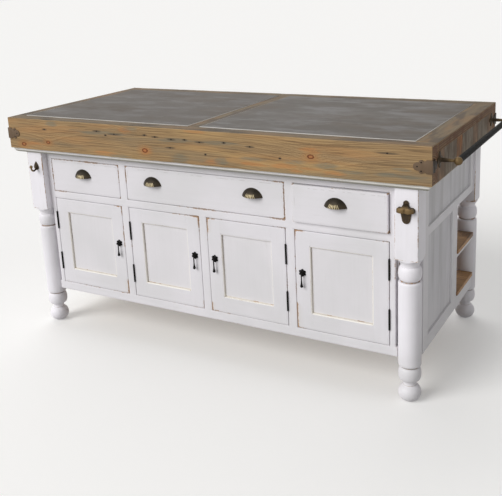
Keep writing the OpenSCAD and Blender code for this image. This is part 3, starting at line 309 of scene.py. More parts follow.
def white_paint(name, base, amount, marks=None, lip_highlight=(246, 242, 233)):
    """Old white paint over pine: brushed, a little dirty, chipped along the edges."""
    material, tree, surface = finish_of(name)
    where = places(tree)
    grain = attribute(tree, "grain", "Vector")
    worn = use(tree, EDGE_WEAR, {"Amount": amount, "Ragged": 0.9, "Patches": 1.0})
    wood = use(tree, GRAIN, {"Vector": grain, "Spacing": 0.007, "Waviness": 0.03})
    brush = cloud(tree, stretched(tree, grain, 4, 90), 1.0, 3, 0.6)
    colour = blend(tree, ease(tree, cloud(tree, where, 3, 3), 0.35, 0.7), base, shade(219, 217, 219))
    # The narrow lips of a frame are painted a lighter cream and kept free of wear: partly older paint, partly
    # a painted highlight where the lips catch the light.
    cream = attribute(tree, "cream", "Fac")
    colour = blend(tree, sums(tree, "MULTIPLY", cream, 0.9), colour, shade(*lip_highlight))
    colour = blend(tree, ease(tree, brush, 0.35, 0.75, 0.0, 0.07), colour, shade(196, 193, 191))
    grey = ease(tree, cloud(tree, stretched(tree, grain, 9, 60), 1.0, 4, 0.65), 0.62, 0.8, 0.0, 0.25)
    colour = blend(tree, grey, colour, shade(200, 196, 192))
    kept = sums(tree, "SUBTRACT", 1.0, sums(tree, "MULTIPLY", cream, 0.85))
    bare = sums(tree, "MULTIPLY", worn["Bare"], kept)
    if marks is not None:
        colour, bare = marks(tree, colour, bare)
    colour = blend(tree, met(tree, worn["Rim"], kept, 0.45), colour, shade(196, 180, 162))
    timber = blend(tree, wood["Fibre"], shade(116, 90, 70), shade(214, 176, 142))
    colour = blend(tree, bare, colour, timber)
    fill(tree, surface, {"Base Color": colour, "Roughness": ease(tree, bare, 0.0, 1.0, 0.55, 0.85)})
    under = relief(tree, surface, wood["Fibre"], 0.2 * MM)
    relief(tree, surface, sums(tree, "SUBTRACT", 1.0, bare), 0.5 * MM, under)
    return material


def joined(tree, *masks):
    """The strongest of several masks."""
    whole = masks[0]
    for mask in masks[1:]:
        whole = sums(tree, "MAXIMUM", whole, mask)
    return whole


def met(tree, *masks):
    """Where all of several masks are."""
    whole = masks[0]
    for mask in masks[1:]:
        whole = sums(tree, "MULTIPLY", whole, mask)
    return whole


def roughened(tree, gap, scale, amount):
    """A distance made uneven by a noise of the given scale, by about amount metres."""
    uneven = sums(tree, "SUBTRACT", cloud(tree, places(tree), scale, 3, 0.6), 0.5)
    return sums(tree, "MULTIPLY_ADD", uneven, 2 * amount, gap)


def door_marks(tree, colour, bare):
    """Corners rubbed to the wood, and long chips down the edge that hands pull at."""
    border = use(tree, BORDER, {})
    some = ease(tree, cloud(tree, places(tree), 2.6, 1), 0.4, 0.5)
    often = joined(tree, some, sums(tree, "SUBTRACT", 1.0, border["Low"]))
    corner = roughened(tree, sums(tree, "ADD", border["Side"], border["End"]), 60, 12 * MM)
    rubbed = roughened(tree, sums(tree, "MINIMUM", border["Side"], border["End"]), 90, 4 * MM)
    rubbed = met(tree, ease(tree, rubbed, 4.2 * MM, 2.6 * MM), ease(tree, corner, 44 * MM, 22 * MM))
    left = ease(tree, cloud(tree, places(tree), 110, 3, 0.65), 0.42, 0.48)
    corner = joined(tree, ease(tree, corner, 10 * MM, 7 * MM), met(tree, rubbed, left))
    corner = met(tree, corner, often, border["Free"])
    runs = ease(tree, cloud(tree, stretched(tree, places(tree), 5, 5, 8), 1.0, 2), 0.56, 0.62)
    edge = roughened(tree, border["Side"], 80, 7 * MM)
    edge = met(tree, ease(tree, edge, 4.5 * MM, 2.5 * MM), runs, border["Free"])
    smudge = met(tree, ease(tree, border["Side"], 30 * MM, 0.0), runs, border["Free"])
    colour = blend(tree, sums(tree, "MULTIPLY", smudge, 0.25), colour, shade(206, 198, 188))
    return colour, joined(tree, bare, corner, edge)


def drawer_marks(tree, colour, bare):
    """A faint scored line a finger's width inside the edge, broken where paint fills it."""
    border = use(tree, BORDER, {})
    inset = sums(tree, "MINIMUM", border["Side"], border["End"])
    off = sums(tree, "ABSOLUTE", sums(tree, "SUBTRACT", inset, 9 * MM))
    dashes = ease(tree, cloud(tree, stretched(tree, places(tree), 34, 34), 1.0, 2, 0.5), 0.5, 0.58)
    upper = sums(tree, "SUBTRACT", 1.0, border["Low"])
    line = met(tree, ease(tree, off, 0.9 * MM, 0.3 * MM), dashes, upper)
    colour = blend(tree, sums(tree, "MULTIPLY", line, 0.5), colour, shade(150, 140, 130))
    corner = roughened(tree, sums(tree, "ADD", border["Side"], border["End"]), 70, 10 * MM)
    return colour, joined(tree, bare, ease(tree, corner, 6 * MM, 4 * MM))


def panel_marks(tree, colour, bare):
    """Dirt along the border where the panel meets its frame, darker along the upper half as painted shade,
    and a pale cream band on the lower half as a painted highlight.
    """
    border = use(tree, BORDER, {})
    gap = sums(tree, "SUBTRACT", sums(tree, "MINIMUM", border["Side"], border["End"]), PANEL_TONGUE)
    # A pale cream band along the lower half of the border: a painted highlight where the frame's lower lip
    # faces up into the light.
    light = ease(tree, roughened(tree, gap, 40, 2 * MM), 5 * MM, 1 * MM, 0.0, 0.7)
    colour = blend(tree, sums(tree, "MULTIPLY", light, border["Low"]), colour, shade(240, 234, 222))
    # A dark line along the joint: dirt, painted darker on the upper half as painted shade.
    line = ease(tree, roughened(tree, gap, 90, 1.5 * MM), 3.4 * MM, 1.0 * MM)
    strength = ease(tree, border["Low"], 0.0, 1.0, 0.95, 0.5)
    colour = blend(tree, sums(tree, "MULTIPLY", line, strength), colour, shade(166, 150, 132))
    chips = ease(tree, cloud(tree, places(tree), 22, 2, 0.6), 0.6, 0.64)
    nick = met(tree, ease(tree, roughened(tree, gap, 120, 3 * MM), 3.5 * MM, 1.5 * MM), chips)
    return colour, joined(tree, bare, sums(tree, "MULTIPLY", nick, 0.8))


def turned_marks(tree, colour, bare):
    """Grey darkening down in the creases of the turning: partly dirt, partly painted shade."""
    hollow = attribute(tree, "hollow", "Fac")
    uneven = cloud(tree, places(tree), 60, 3, 0.6)
    # The creases are darkened as dirt and as painted shade.
    dirt_and_shade = ease(tree, sums(tree, "MULTIPLY_ADD", uneven, 0.9, hollow), 0.6, 1.25)
    colour = blend(tree, sums(tree, "MULTIPLY", dirt_and_shade, 0.7), colour, shade(142, 130, 116))
    flakes = ease(tree, cloud(tree, places(tree), 70, 3, 0.7), 0.54, 0.58)
    return colour, joined(tree, bare, met(tree, flakes, ease(tree, hollow, 0.2, 0.7)))


def side_marks(tree, colour, bare):
    """The ends are greyer, partly dirt and partly painted shade, with old brush strokes that run up them."""
    strokes = cloud(tree, stretched(tree, places(tree), 24, 24, 2.2), 1.0, 3, 0.6)
    light = cloud(tree, stretched(tree, places(tree), 18, 18, 1.8, (4, 2, 7)), 1.0, 3, 0.6)
    grime = cloud(tree, places(tree), 5, 3, 0.6)
    colour = blend(tree, ease(tree, strokes, 0.45, 0.7, 0.0, 0.55), colour, shade(172, 170, 170))
    colour = blend(tree, ease(tree, light, 0.52, 0.7, 0.0, 0.5), colour, shade(226, 224, 228))
    return blend(tree, ease(tree, grime, 0.45, 0.7, 0.0, 0.3), colour, shade(186, 184, 184)), bare


def cornice_marks(tree, colour, bare):
    """The hollow of the moulding is painted greenish grey under its light upper edge: partly dirt, partly
    painted shade.
    """
    height = put(tree, "SeparateXYZ", {0: places(tree)}).outputs[2]
    # Darker towards the moulding's lower edge: painted shade with some dirt.
    dirt_and_shade = ease(tree, height, CORNICE_LOW + 10 * MM, CORNICE_LOW + 5 * MM, 0.0, 0.85)
    colour = blend(tree, dirt_and_shade, colour, shade(134, 131, 118))
    return colour, bare


def pine_colours(tree, grain, late_share, light, dark):
    """Light wood with darker late wood and fibres."""
    colour = blend(tree, sums(tree, "MULTIPLY", grain["Late wood"], late_share), light, dark)
    fine = ease(tree, grain["Fibre"], 0.3, 0.75, 0.0, 0.35)
    return blend(tree, fine, colour, dark)


def plain_wood(name, light, dark, wear=None):
    """A sawn and planed board with nothing but its grain."""
    material, tree, surface = finish_of(name)
    vector = attribute(tree, "grain", "Vector")
    grain = use(tree, GRAIN, {"Vector": vector, "Spacing": 0.006, "Waviness": 0.025})
    colour = pine_colours(tree, grain, 0.6, light, dark)
    tone = ease(tree, grain["Tone"], 0.3, 0.7, 0.0, 0.35)
    colour = blend(tree, tone, colour, dark)
    if wear is not None:
        worn = use(tree, EDGE_WEAR, {"Amount": 0.5, "Ragged": 0.8})
        colour = blend(tree, sums(tree, "MULTIPLY", worn["Rim"], 0.8), colour, wear)
    fill(tree, surface, {"Base Color": colour, "Roughness": 0.62})
    relief(tree, surface, sums(tree, "ADD", grain["Fibre"], grain["Late wood"]), 0.25 * MM)
    return material


# Places on the front board's face: along it from its left end, and up from its lower edge, in mm. Then
# comes a knot's or swirl's radius, the length of a nail's stain, or a patch's half length and half height.
FRONT_KNOTS = [(703, 37, 7), (215, 36, 5.5), (1389, 65, 6.5), (79, 20, 7)]
FRONT_SWIRLS = [(1415, 26, 46), (640, 112, 26), (230, 30, 30)]
FRONT_NAILS = [(201, 88, 14), (475, 97, 22), (561, 90, 34), (706, 96, 12), (754, 92, 18), (827, 87, 20),
               (886, 90, 12), (950, 85, 22), (1053, 90, 10), (820, 56, 24), (973, 42, 6), (1274, 51, 7),
               (1158, 83, 20), (518, 84, 8), (1656, 97, 40)]
ORANGE_PATCHES = [(616, 109, 34, 14), (925, 124, 60, 7), (996, 17, 30, 9), (1164, 23, 60, 9),
                  (1285, 26, 60, 8), (1389, 88, 38, 12), (1391, 24, 50, 6), (1472, 16, 44, 8),
                  (503, 14, 70, 9), (1340, 12, 30, 6), (130, 24, 60, 10), (703, 37, 26, 14)]
GREY_PATCHES = [(582, 6, 50, 9), (862, 17, 36, 18), (1040, 22, 30, 14), (1166, 40, 70, 7), (1323, 42, 60, 8),
                (1440, 40, 50, 12), (1533, 26, 50, 10), (1658, 27, 40, 8), (1704, 48, 30, 6),
                (1736, 25, 60, 7), (240, 112, 30, 12), (1010, 88, 100, 8), (830, 84, 100, 9),
                (480, 92, 140, 8), (640, 116, 40, 10)]


def spread_marks(tree, face):
    """The front board's own knots, swirls, nail marks and stains, each as one mask."""
    masks = dict.fromkeys(("push", "rim", "core", "halo", "hole", "smear", "orange", "grey"), 0.0)

    def add(name, mask):
        masks[name] = sums(tree, "MAXIMUM", masks[name], mask)

    def mark_at(along, up, group, label, size):
        """One of the effects, with its middle at a place on the face."""
        return use(tree, group, {"Vector": face, "Middle": (along * MM, 0, up * MM), label: size})

    for along, up, radius in FRONT_KNOTS:
        knot = mark_at(along, up, KNOT, "Radius", radius * MM)
        masks["push"] = sums(tree, "ADD", masks["push"], knot["Push"])
        add("rim", knot["Rim"])
        add("core", knot["Core"])
        add("halo", knot["Halo"])
    for along, up, radius in FRONT_SWIRLS:
        swirl = mark_at(along, up, KNOT, "Radius", radius * MM)
        masks["push"] = sums(tree, "MULTIPLY_ADD", swirl["Push"], 0.6, masks["push"])
    for along, up, length in FRONT_NAILS:
        mark = mark_at(along, up, NAIL_MARK, "Length", length * MM)
        add("hole", mark["Hole"])
        add("smear", mark["Stain"])
    for name, patches in (("orange", ORANGE_PATCHES), ("grey", GREY_PATCHES)):
        for along, up, length, height in patches:
            add(name, mark_at(along, up, PATCH, "Size", (length * MM, 1, height * MM))["Mask"])
    return masks


def worktop_pine(name, front_marks=False):
    """Reclaimed pine: tan on its sanded sides, grey-brown on top, with knots, nail marks and stains."""
    material, tree, surface = finish_of(name)
    where = places(tree)
    vector = attribute(tree, "grain", "Vector")
    face = put(tree, "VectorMath", {0: where, 1: (board_left, 0, board_low)}, operation="SUBTRACT").outputs[0]
    marks = spread_marks(tree, face) if front_marks else {"push": 0.0}
    grain = use(tree, GRAIN, {"Vector": vector, "Spacing": 0.0065, "Waviness": 0.035, "Push": marks["push"]})

    def veil(scale, spread, low, high, most, shift=(0, 0, 0)):
        """A soft cloud drawn out along the board."""
        shape = cloud(tree, stretched(tree, vector, scale, spread, shift=shift), 1.0, 3, 0.55)
        return ease(tree, shape, low, high, 0.0, most)

    colour = pine_colours(tree, grain, 0.55, shade(172, 143, 103), shade(116, 90, 62))
    colour = blend(tree, veil(2.2, 22, 0.45, 0.65, 0.55), colour, shade(178, 134, 88))
    colour = blend(tree, veil(1.6, 14, 0.46, 0.68, 0.5, (3, 9, 1)), colour, shade(190, 157, 106))
    colour = blend(tree, veil(2.4, 26, 0.48, 0.7, 0.6, (5, 2, 8)), colour, shade(128, 116, 95))
    colour = blend(tree, veil(6, 260, 0.53, 0.68, 0.55, (1, 7, 3)), colour, shade(88, 70, 52))
    colour = blend(tree, veil(8, 420, 0.5, 0.66, 0.35, (4, 4, 9)), colour, shade(102, 84, 64))
    if front_marks:
        broken = sums(tree, "SUBTRACT", 1.0, sums(tree, "MULTIPLY", grain["Late wood"], 0.6))
        colour = blend(tree, met(tree, marks["halo"], 0.4), colour, shade(176, 118, 64))
        colour = blend(tree, met(tree, marks["orange"], broken, 0.5), colour, shade(188, 122, 68))
        colour = blend(tree, met(tree, marks["grey"], broken, 0.6), colour, shade(118, 118, 104))
        colour = blend(tree, met(tree, marks["smear"], 0.75), colour, shade(74, 66, 58))
        colour = blend(tree, met(tree, marks["core"], 0.45), colour, shade(170, 96, 50))
        colour = blend(tree, met(tree, marks["rim"], 0.85), colour, shade(100, 44, 24))
        colour = blend(tree, marks["hole"], colour, shade(42, 34, 28))
    turned = put(tree, "NewGeometry").outputs["True Normal"]
    facing = put(tree, "SeparateXYZ", {0: turned}).outputs
    on_top = ease(tree, facing[2], 0.3, 0.8)
    worn_top = blend(tree, grain["Fibre"], shade(126, 110, 86), shade(92, 78, 58))
    worn_top = blend(tree, sums(tree, "MULTIPLY", grain["Late wood"], 0.35), worn_top, shade(84, 70, 56))
    worn_top = blend(tree, veil(3, 18, 0.46, 0.62, 0.6, (2, 4, 6)), worn_top, shade(126, 98, 66))
    worn_top = blend(tree, veil(7, 24, 0.46, 0.64, 0.8, (6, 1, 2)), worn_top, shade(72, 62, 51))
    colour = blend(tree, on_top, colour, worn_top)
    on_end = ease(tree, sums(tree, "ABSOLUTE", facing[0]), 0.5, 0.8)
    end_wood = blend(tree, grain["Late wood"], shade(132, 104, 78), shade(86, 64, 46))
    browner = ease(tree, cloud(tree, where, 24, 3), 0.4, 0.65, 0.0, 0.7)
    end_wood = blend(tree, browner, end_wood, shade(98, 66, 46))
    colour = blend(tree, on_end, colour, end_wood)
    # The arrises that don't face up are painted a lighter tan: a painted highlight along them.
    edge = attribute(tree, "wear", "Fac")
    sharp = met(tree, ease(tree, edge, 0.7, 1.0), sums(tree, "SUBTRACT", 1.0, on_top))
    colour = blend(tree, sums(tree, "MULTIPLY", sharp, 0.35), colour, shade(196, 170, 128))
    fill(tree, surface, {"Base Color": colour, "Roughness": 0.7, "Specular IOR Level": 0.2})
    lines = sums(tree, "MULTIPLY_ADD", grain["Late wood"], 0.7, grain["Fibre"])
    dents = cloud(tree, stretched(tree, vector, 12, 40), 1.0, 2)
    under = relief(tree, surface, lines, 0.4 * MM)
    under = relief(tree, surface, dents, 1.2 * MM, under)
    if front_marks:
        solid = sums(tree, "SUBTRACT", 1.0, joined(tree, marks["hole"], marks["rim"]))
        relief(tree, surface, solid, 1.0 * MM, under)
    return material


def plank_ends(name):
    """The core's planks: grey end grain on the wide ones, orange heartwood on the narrow ones."""
    material, tree, surface = finish_of(name)
    where = places(tree)
    narrow = attribute(tree, "tint", "Fac")
    saw = cloud(tree, stretched(tree, where, 20, 170, 11), 1.0, 3, 0.6)
    soft = cloud(tree, stretched(tree, where, 9, 16, 9), 1.0, 3, 0.6)
    grey = blend(tree, ease(tree, saw, 0.35, 0.7), shade(142, 131, 116), shade(102, 90, 76))
    brown = blend(tree, ease(tree, saw, 0.35, 0.7), shade(164, 112, 66), shade(96, 64, 42))
    colour = blend(tree, narrow, grey, brown)
    colour = blend(tree, ease(tree, soft, 0.4, 0.62, 0.0, 0.8), colour, shade(92, 74, 56))
    fill(tree, surface, {"Base Color": colour, "Roughness": 0.8})
    relief(tree, surface, sums(tree, "ADD", saw, soft), 0.6 * MM)
    return material


def zinc(name):
    """Zinc sheet with a dull grey bloom, cloudy rubbing marks and a folded edge painted lighter as a painted
    highlight.
    """
    material, tree, surface = finish_of(name)
    where = places(tree)
    bloom = cloud(tree, stretched(tree, where, 3, 5, 3), 1.0, 4, 0.6)
    rubbed = cloud(tree, stretched(tree, where, 5, 14, 3, (2, 5, 0)), 1.0, 4, 0.65)
    warm = cloud(tree, stretched(tree, where, 4, 7, 3, (7, 1, 0)), 1.0, 3, 0.6)
    spots = cloud(tree, where, 26, 4, 0.7)
    colour = blend(tree, ease(tree, bloom, 0.35, 0.7), shade(80, 74, 67), shade(114, 110, 106))
    colour = blend(tree, ease(tree, rubbed, 0.45, 0.68, 0.0, 0.6), colour, shade(130, 128, 128))
    colour = blend(tree, ease(tree, warm, 0.46, 0.66, 0.0, 0.7), colour, shade(88, 78, 67))
    colour = blend(tree, ease(tree, spots, 0.58, 0.75, 0.0, 0.4), colour, shade(74, 68, 61))
    duller = sums(tree, "MULTIPLY", attribute(tree, "tint", "Fac"), 0.25)
    colour = blend(tree, duller, colour, shade(72, 62, 52))
    # The folded edges are painted lighter, brightest along the front: a painted highlight.
    edge = attribute(tree, "wear", "Fac")
    colour = blend(tree, ease(tree, edge, 0.3, 1.0), colour, shade(214, 211, 206))
    rough = ease(tree, bloom, 0.3, 0.75, 0.56, 0.72)
    fill(tree, surface, {"Base Color": colour, "Roughness": rough, "Metallic": 0.0,
                         "Specular IOR Level": 0.12})
    relief(tree, surface, cloud(tree, where, 8, 2), 1.2 * MM)
    return material


def edges_of_metal(tree):
    """1 along the tight outer curves of a fitting."""
    return attribute(tree, "ridge", "Fac")


def fan_of_ribs(tree):
    """1 along the crests of a cup pull's ribs, which fan out from the top of its hood."""
    place = put(tree, "SeparateXYZ", {0: attribute(tree, "fan", "Vector")}).outputs
    angle = sums(tree, "ARCTAN2", place[0], sums(tree, "MULTIPLY", place[1], -1.0))
    crest = sums(tree, "COSINE", sums(tree, "MULTIPLY", angle, 2 * math.pi / CUP_RIB_STEP))
    within = ease(tree, sums(tree, "ABSOLUTE", angle), 3.6 * CUP_RIB_STEP, 3.3 * CUP_RIB_STEP)
    begun = ease(tree, place[2], 0.92 * CUP_SPHERE, 0.8 * CUP_SPHERE)
    return met(tree, ease(tree, crest, -0.1, 0.9), within, begun)


def old_metal(name, dark, rubbed, highlight_colour, rough, metallic, most=1.0, gloss=0.5, ridges=edges_of_metal):
    """Dark patinated metal, lighter where it is handled, and on the straps as painted light where they face
    the light, with a painted highlight along its ridges that is partly polish.
    """
    material, tree, surface = finish_of(name)
    where = places(tree)
    grime = cloud(tree, where, 120, 4, 0.65)
    large = cloud(tree, where, 45, 2)
    uneven = sums(tree, "SUBTRACT", large, 0.5)
    handled_and_lit = attribute(tree, "rub", "Fac")
    colour = blend(tree, ease(tree, grime, 0.4, 0.75, 0.0, 0.35), dark, rubbed)
    bright = ease(tree, sums(tree, "MULTIPLY_ADD", uneven, 0.8, handled_and_lit), 0.25, 0.9)
    # Lighter where hands rub; on the straps this mask is painted light on their front and rear faces.
    colour = blend(tree, bright, colour, rubbed)
    # The ridges take a painted highlight, strongest where the metal is handled: partly polish, partly painted
    # highlight.
    ridge_highlight = ease(tree, sums(tree, "MULTIPLY_ADD", uneven, 0.4, ridges(tree)), 0.4, 1.0)
    ridge_highlight = met(tree, ridge_highlight, ease(tree, handled_and_lit, 0.1, 0.75, 0.08, 1.0), most)
    colour = blend(tree, ridge_highlight, colour, highlight_colour)
    matt = sums(tree, "MULTIPLY_ADD", ridge_highlight, -0.4, grime)
    rough_now = ease(tree, matt, 0.1, 0.75, rough - 0.1, rough + 0.2)
    fill(tree, surface, {"Base Color": colour, "Roughness": rough_now, "Metallic": metallic,
                         "Specular IOR Level": gloss})
    relief(tree, surface, grime, 0.2 * MM)
    return material


PAINT = white_paint("white paint", shade(230, 227, 231), 0.34)
# Its lips are painted near white, a painted highlight along the side frames' inner edges.
PAINT_SOUND = white_paint("white paint, little worn", shade(226, 223, 226), 0.2, lip_highlight=(240, 239, 241))
# The side panels' paint is darker than the front's: grey dirt, and painted shade for the ends that face away
# from the light.
SHADED_SIDE_PAINT = white_paint("side panel paint", shade(204, 202, 206), 0.1, side_marks)
DOOR_PAINT = white_paint("door paint", shade(228, 225, 229), 0.34, door_marks)
DRAWER_PAINT = white_paint("drawer front paint", shade(228, 225, 229), 0.34, drawer_marks)
PANEL_PAINT = white_paint("panel paint", shade(226, 223, 226), 0.1, panel_marks)
# The legs' paint is lighter than the rest of the white paint: a painted highlight for the light that the
# turned legs catch.
LIT_LEG_PAINT = white_paint("turned leg paint", shade(243, 240, 245), 0.55, turned_marks)
CORNICE_PAINT = white_paint("cornice paint", shade(222, 220, 214), 0.15, cornice_marks)
INNER = plain_wood("inner boards", shade(214, 190, 152), shade(176, 142, 104))
DRAWER_WOOD = plain_wood("drawer pine", shade(205, 176, 134), shade(164, 126, 88))
SHELF_WOOD = plain_wood("stained shelf", shade(186, 142, 92), shade(126, 90, 54), wear=shade(78, 56, 38))
FRONT_PINE = worktop_pine("front board pine", front_marks=True)
PINE = worktop_pine("worktop pine")
PLANKS = plank_ends("plank ends")
ZINC = zinc("zinc sheet")
BRASS = old_metal("old brass", shade(46, 41, 33), shade(60, 52, 40), shade(176, 162, 128), 0.45, 0.75,
                  ridges=fan_of_ribs)
CAST_BRASS = old_metal("old cast brass", shade(56, 46, 34), shade(106, 86, 56), shade(160, 134, 90), 0.5, 0.7,
                       0.8)
# The strap iron's lighter colour is painted light on the straps' front and rear faces, and its dark colour
# painted shade on their ends.
IRON = old_metal("strap iron", shade(38, 33, 29), shade(92, 75, 59), shade(120, 100, 80), 0.6, 0.3, 0.4, 0.25)
BLACK = old_metal("black iron", shade(17, 16, 15), shade(24, 22, 21), shade(96, 92, 88), 0.55, 0.0, 0.4, 0.08)


# ---- mesh helpers ----

def merged_copy(node):
    """A node's solids with their loose triangles joined and their flat faces made whole again."""
    mesh = bmesh.new()
    mesh.from_mesh(frame["nodes"][node].data)
    for old in list(mesh.verts.layers.float.values()):
        mesh.verts.layers.float.remove(old)
    bmesh.ops.remove_doubles(mesh, verts=mesh.verts, dist=0.01 * MM)
    bmesh.ops.dissolve_limit(mesh, angle_limit=math.radians(1), verts=mesh.verts, edges=mesh.edges)
    return mesh


def solids_of(mesh):
    """The vertices of each separate solid, in a fixed order."""
    seen = set()
    groups = []
    for start in mesh.verts:
        if start in seen:
            continue
        group = []
        waiting = [start]
        seen.add(start)
        while waiting:
            vert = waiting.pop()
            group.append(vert)
            for edge in vert.link_edges:
                other = edge.other_vert(vert)
                if other not in seen:
                    seen.add(other)
                    waiting.append(other)
        groups.append(group)
    return groups


def spans(verts):
    """The lowest and the highest corner of some vertices."""
    low = Vector([min(v.co[i] for v in verts) for i in range(3)])
    high = Vector([max(v.co[i] for v in verts) for i in range(3)])
    return low, high


def lay_grain(mesh, seed, pith=None):
    """Gives each solid wood coordinates: along its longest side, and across from its own pith."""
    grain = mesh.verts.layers.float_vector.new("grain")
    tint = mesh.verts.layers.float.new("tint")
    chance = random.Random(seed)
    for group in solids_of(mesh):
        low, high = spans(group)
        size = high - low
        along = max(range(3), key=lambda i: size[i])
        across = [i for i in range(3) if i != along]
        start = chance.uniform(0, 30)
        offset = pith or (chance.uniform(-0.05, 0.05), chance.choice((-1, 1)) * chance.uniform(0.03, 0.14))
        shade_of = chance.random()
        middle = (low + high) / 2
        for vert in group:
            place = vert.co - middle
            vert[grain] = (place[along] + start, place[across[0]] + offset[0], place[across[1]] + offset[1])
            vert[tint] = shade_of


def sharp_edges(mesh, degrees=30):
    """The edges whose two faces meet at more than the given angle."""
    limit = math.radians(degrees)
    return [e for e in mesh.edges if len(e.link_faces) == 2 and e.calc_face_angle(0) > limit]


def number_boards(mesh):
    """Numbers the separate boards, so that each can be told from those that it is joined to."""
    board = mesh.verts.layers.float.new("board")
    for number, group in enumerate(solids_of(mesh)):
        for vert in group:
            vert[board] = number


def board_boxes(mesh, thin):
    """Each board's number and box. A tenon is left out, as it reaches neither side of the frame."""
    boxes = []
    for number, group in enumerate(solids_of(mesh)):
        low, high = spans(group)
        if thin is not None:
            shown = (v for v in group if min(v.co[thin] - low[thin], high[thin] - v.co[thin]) < 0.1 * MM)
            low, high = spans(list(shown))
        boxes.append((number, low, high))
    return boxes


def touches(low, high, other_low, other_high):
    """Whether two boxes meet, or nearly."""
    return all(low[i] < other_high[i] + JOINT and other_low[i] < high[i] + JOINT for i in range(3))


def cut_board(mesh, number, axis, level):
    """Cuts one board straight across, and leaves it whole."""
    board = mesh.verts.layers.float["board"]
    verts = [v for v in mesh.verts if round(v[board]) == number]
    edges = [e for e in mesh.edges if round(e.verts[0][board]) == number]
    faces = [f for f in mesh.faces if round(f.verts[0][board]) == number]
    normal = Vector([1.0 if i == axis else 0.0 for i in range(3)])
    bmesh.ops.bisect_plane(mesh, geom=verts + edges + faces, dist=0.01 * MM, plane_co=normal * level,
                           plane_no=normal)


def cut_boards(mesh, boxes, own, offsets, inset=None):
    """Cuts each board in line with its neighbours' sides, and a given inset inside its own."""
    for number, low, high in boxes[:own]:
        levels = set()
        for other, other_low, other_high in boxes:
            if other != number and touches(low, high, other_low, other_high):
                levels.update((i, round(side[i] + offset, 5)) for i in range(3)
                              for side in (other_low, other_high) for offset in offsets)
        if inset is not None:
            for i in range(3):
                step = min(inset, 0.3 * (high[i] - low[i]))
                levels.update(((i, round(low[i] + step, 5)), (i, round(high[i] - step, 5))))
        for axis, level in sorted(levels):
            if low[axis] + 0.7 * MM < level < high[axis] - 0.7 * MM:
                cut_board(mesh, number, axis, level)


def free_edges(mesh, boxes, degrees):
    """The sharp edges that don't lie in a joint between two boards."""
    board = mesh.verts.layers.float["board"]
    free = []
    for edge in sharp_edges(mesh, degrees):
        place = (edge.verts[0].co + edge.verts[1].co) / 2
        own = round(edge.verts[0][board])
        if not any(number != own and touches(place, place, low, high) for number, low, high in boxes):
            free.append(edge)
    return free


def soften(mesh, edges, width, segments=2):
    """Takes the sharpness off some edges."""
    return bmesh.ops.bevel(mesh, geom=edges, offset=width, offset_type="OFFSET", segments=segments,
                           profile=0.5, affect="EDGES", material=-1, clamp_overlap=True)["faces"]


def soften_lips(mesh, boxes, width):
    """Rounds a frame's edge towards its panel, and marks it for the lighter cream lip colour: partly older
    paint, partly a painted highlight.
    """
    cream = mesh.faces.layers.float["cream"]
    lips = [e for e in free_edges(mesh, boxes, 30) if sum(f[cream] for f in e.link_faces) == 1]
    for face in soften(mesh, lips, width, 3):
        face[cream] = 1.0


def mark_edges(mesh, boxes):
    """Wear is 1 on the free edges and falls to 0 at the next cut."""
    wear = mesh.verts.layers.float.new("wear")
    for edge in free_edges(mesh, boxes, 12):
        for vert in edge.verts:
            vert[wear] = 1.0


def mark_cream(mesh):
    """The narrow inner sides of a frame take the lighter cream lip colour: partly older paint, partly a
    painted highlight.
    """
    cream = mesh.faces.layers.float.new("cream")
    for face in mesh.faces:
        if 2 * face.calc_area() / face.calc_perimeter() < CREAM_WIDTH:
            face[cream] = 1.0


def mark_border(mesh, across, free):
    """Tells every point where it lies on its whole panel: spot from its middle, half its half size."""
    spot = mesh.verts.layers.float_vector.new("spot")
    half = mesh.verts.layers.float_vector.new("half")
    low, high = spans(mesh.verts)
    middle = (low + high) / 2
    size = (high - low) / 2
    for vert in mesh.verts:
        vert[spot] = (vert.co[across] - middle[across], vert.co.z - middle.z, 0)
        vert[half] = (size[across], size.z, free)


def mark_ridges(mesh, blunt, sharp):
    """ridge is 1 on tight outer curves and hollow is 1 in tight inner ones, in curvature per metre."""
    mesh.normal_update()
    ridge = mesh.verts.layers.float.new("ridge")
    hollow = mesh.verts.layers.float.new("hollow")
    for vert in mesh.verts:
        bend = 0.0
        for edge in vert.link_edges:
            step = edge.other_vert(vert).co - vert.co
            bend -= vert.normal.dot(step) / max(step.length_squared, 1e-12)
        bend /= max(len(vert.link_edges), 1)
        vert[ridge] = min(max((bend - blunt) / (sharp - blunt), 0), 1)
        vert[hollow] = min(max((-bend - blunt) / (sharp - blunt), 0), 1)


def slice_along(mesh, spacing):
    """Cuts every solid across its length, so that its edges can be worn uneven."""
    low, high = spans(mesh.verts)
    size = high - low
    along = max(range(3), key=lambda i: size[i])
    normal = Vector([1.0 if i == along else 0.0 for i in range(3)])
    count = int(size[along] / spacing)
    for i in range(1, count):
        place = low + normal * (size[along] * i / count)
        geometry = mesh.verts[:] + mesh.edges[:] + mesh.faces[:]
        bmesh.ops.bisect_plane(mesh, geom=geometry, dist=1e-6, plane_co=place, plane_no=normal)


def finished(mesh, name, material, body, smooth=35):
    """Turns a bmesh into a piece of the object that rides on its body."""
    data = bpy.data.meshes.new(name)
    mesh.to_mesh(data)
    mesh.free()
    data.materials.append(material)
    data.shade_smooth()
    data.set_sharp_from_angle(angle=math.radians(smooth))
    piece = bpy.data.objects.new(name, data)
    bpy.context.scene.collection.objects.link(piece)
    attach(piece, body)
    return piece


def body_of(node):
    """The body that carries a node."""
    return frame["nodes"][node].parent.name.removeprefix("body:")


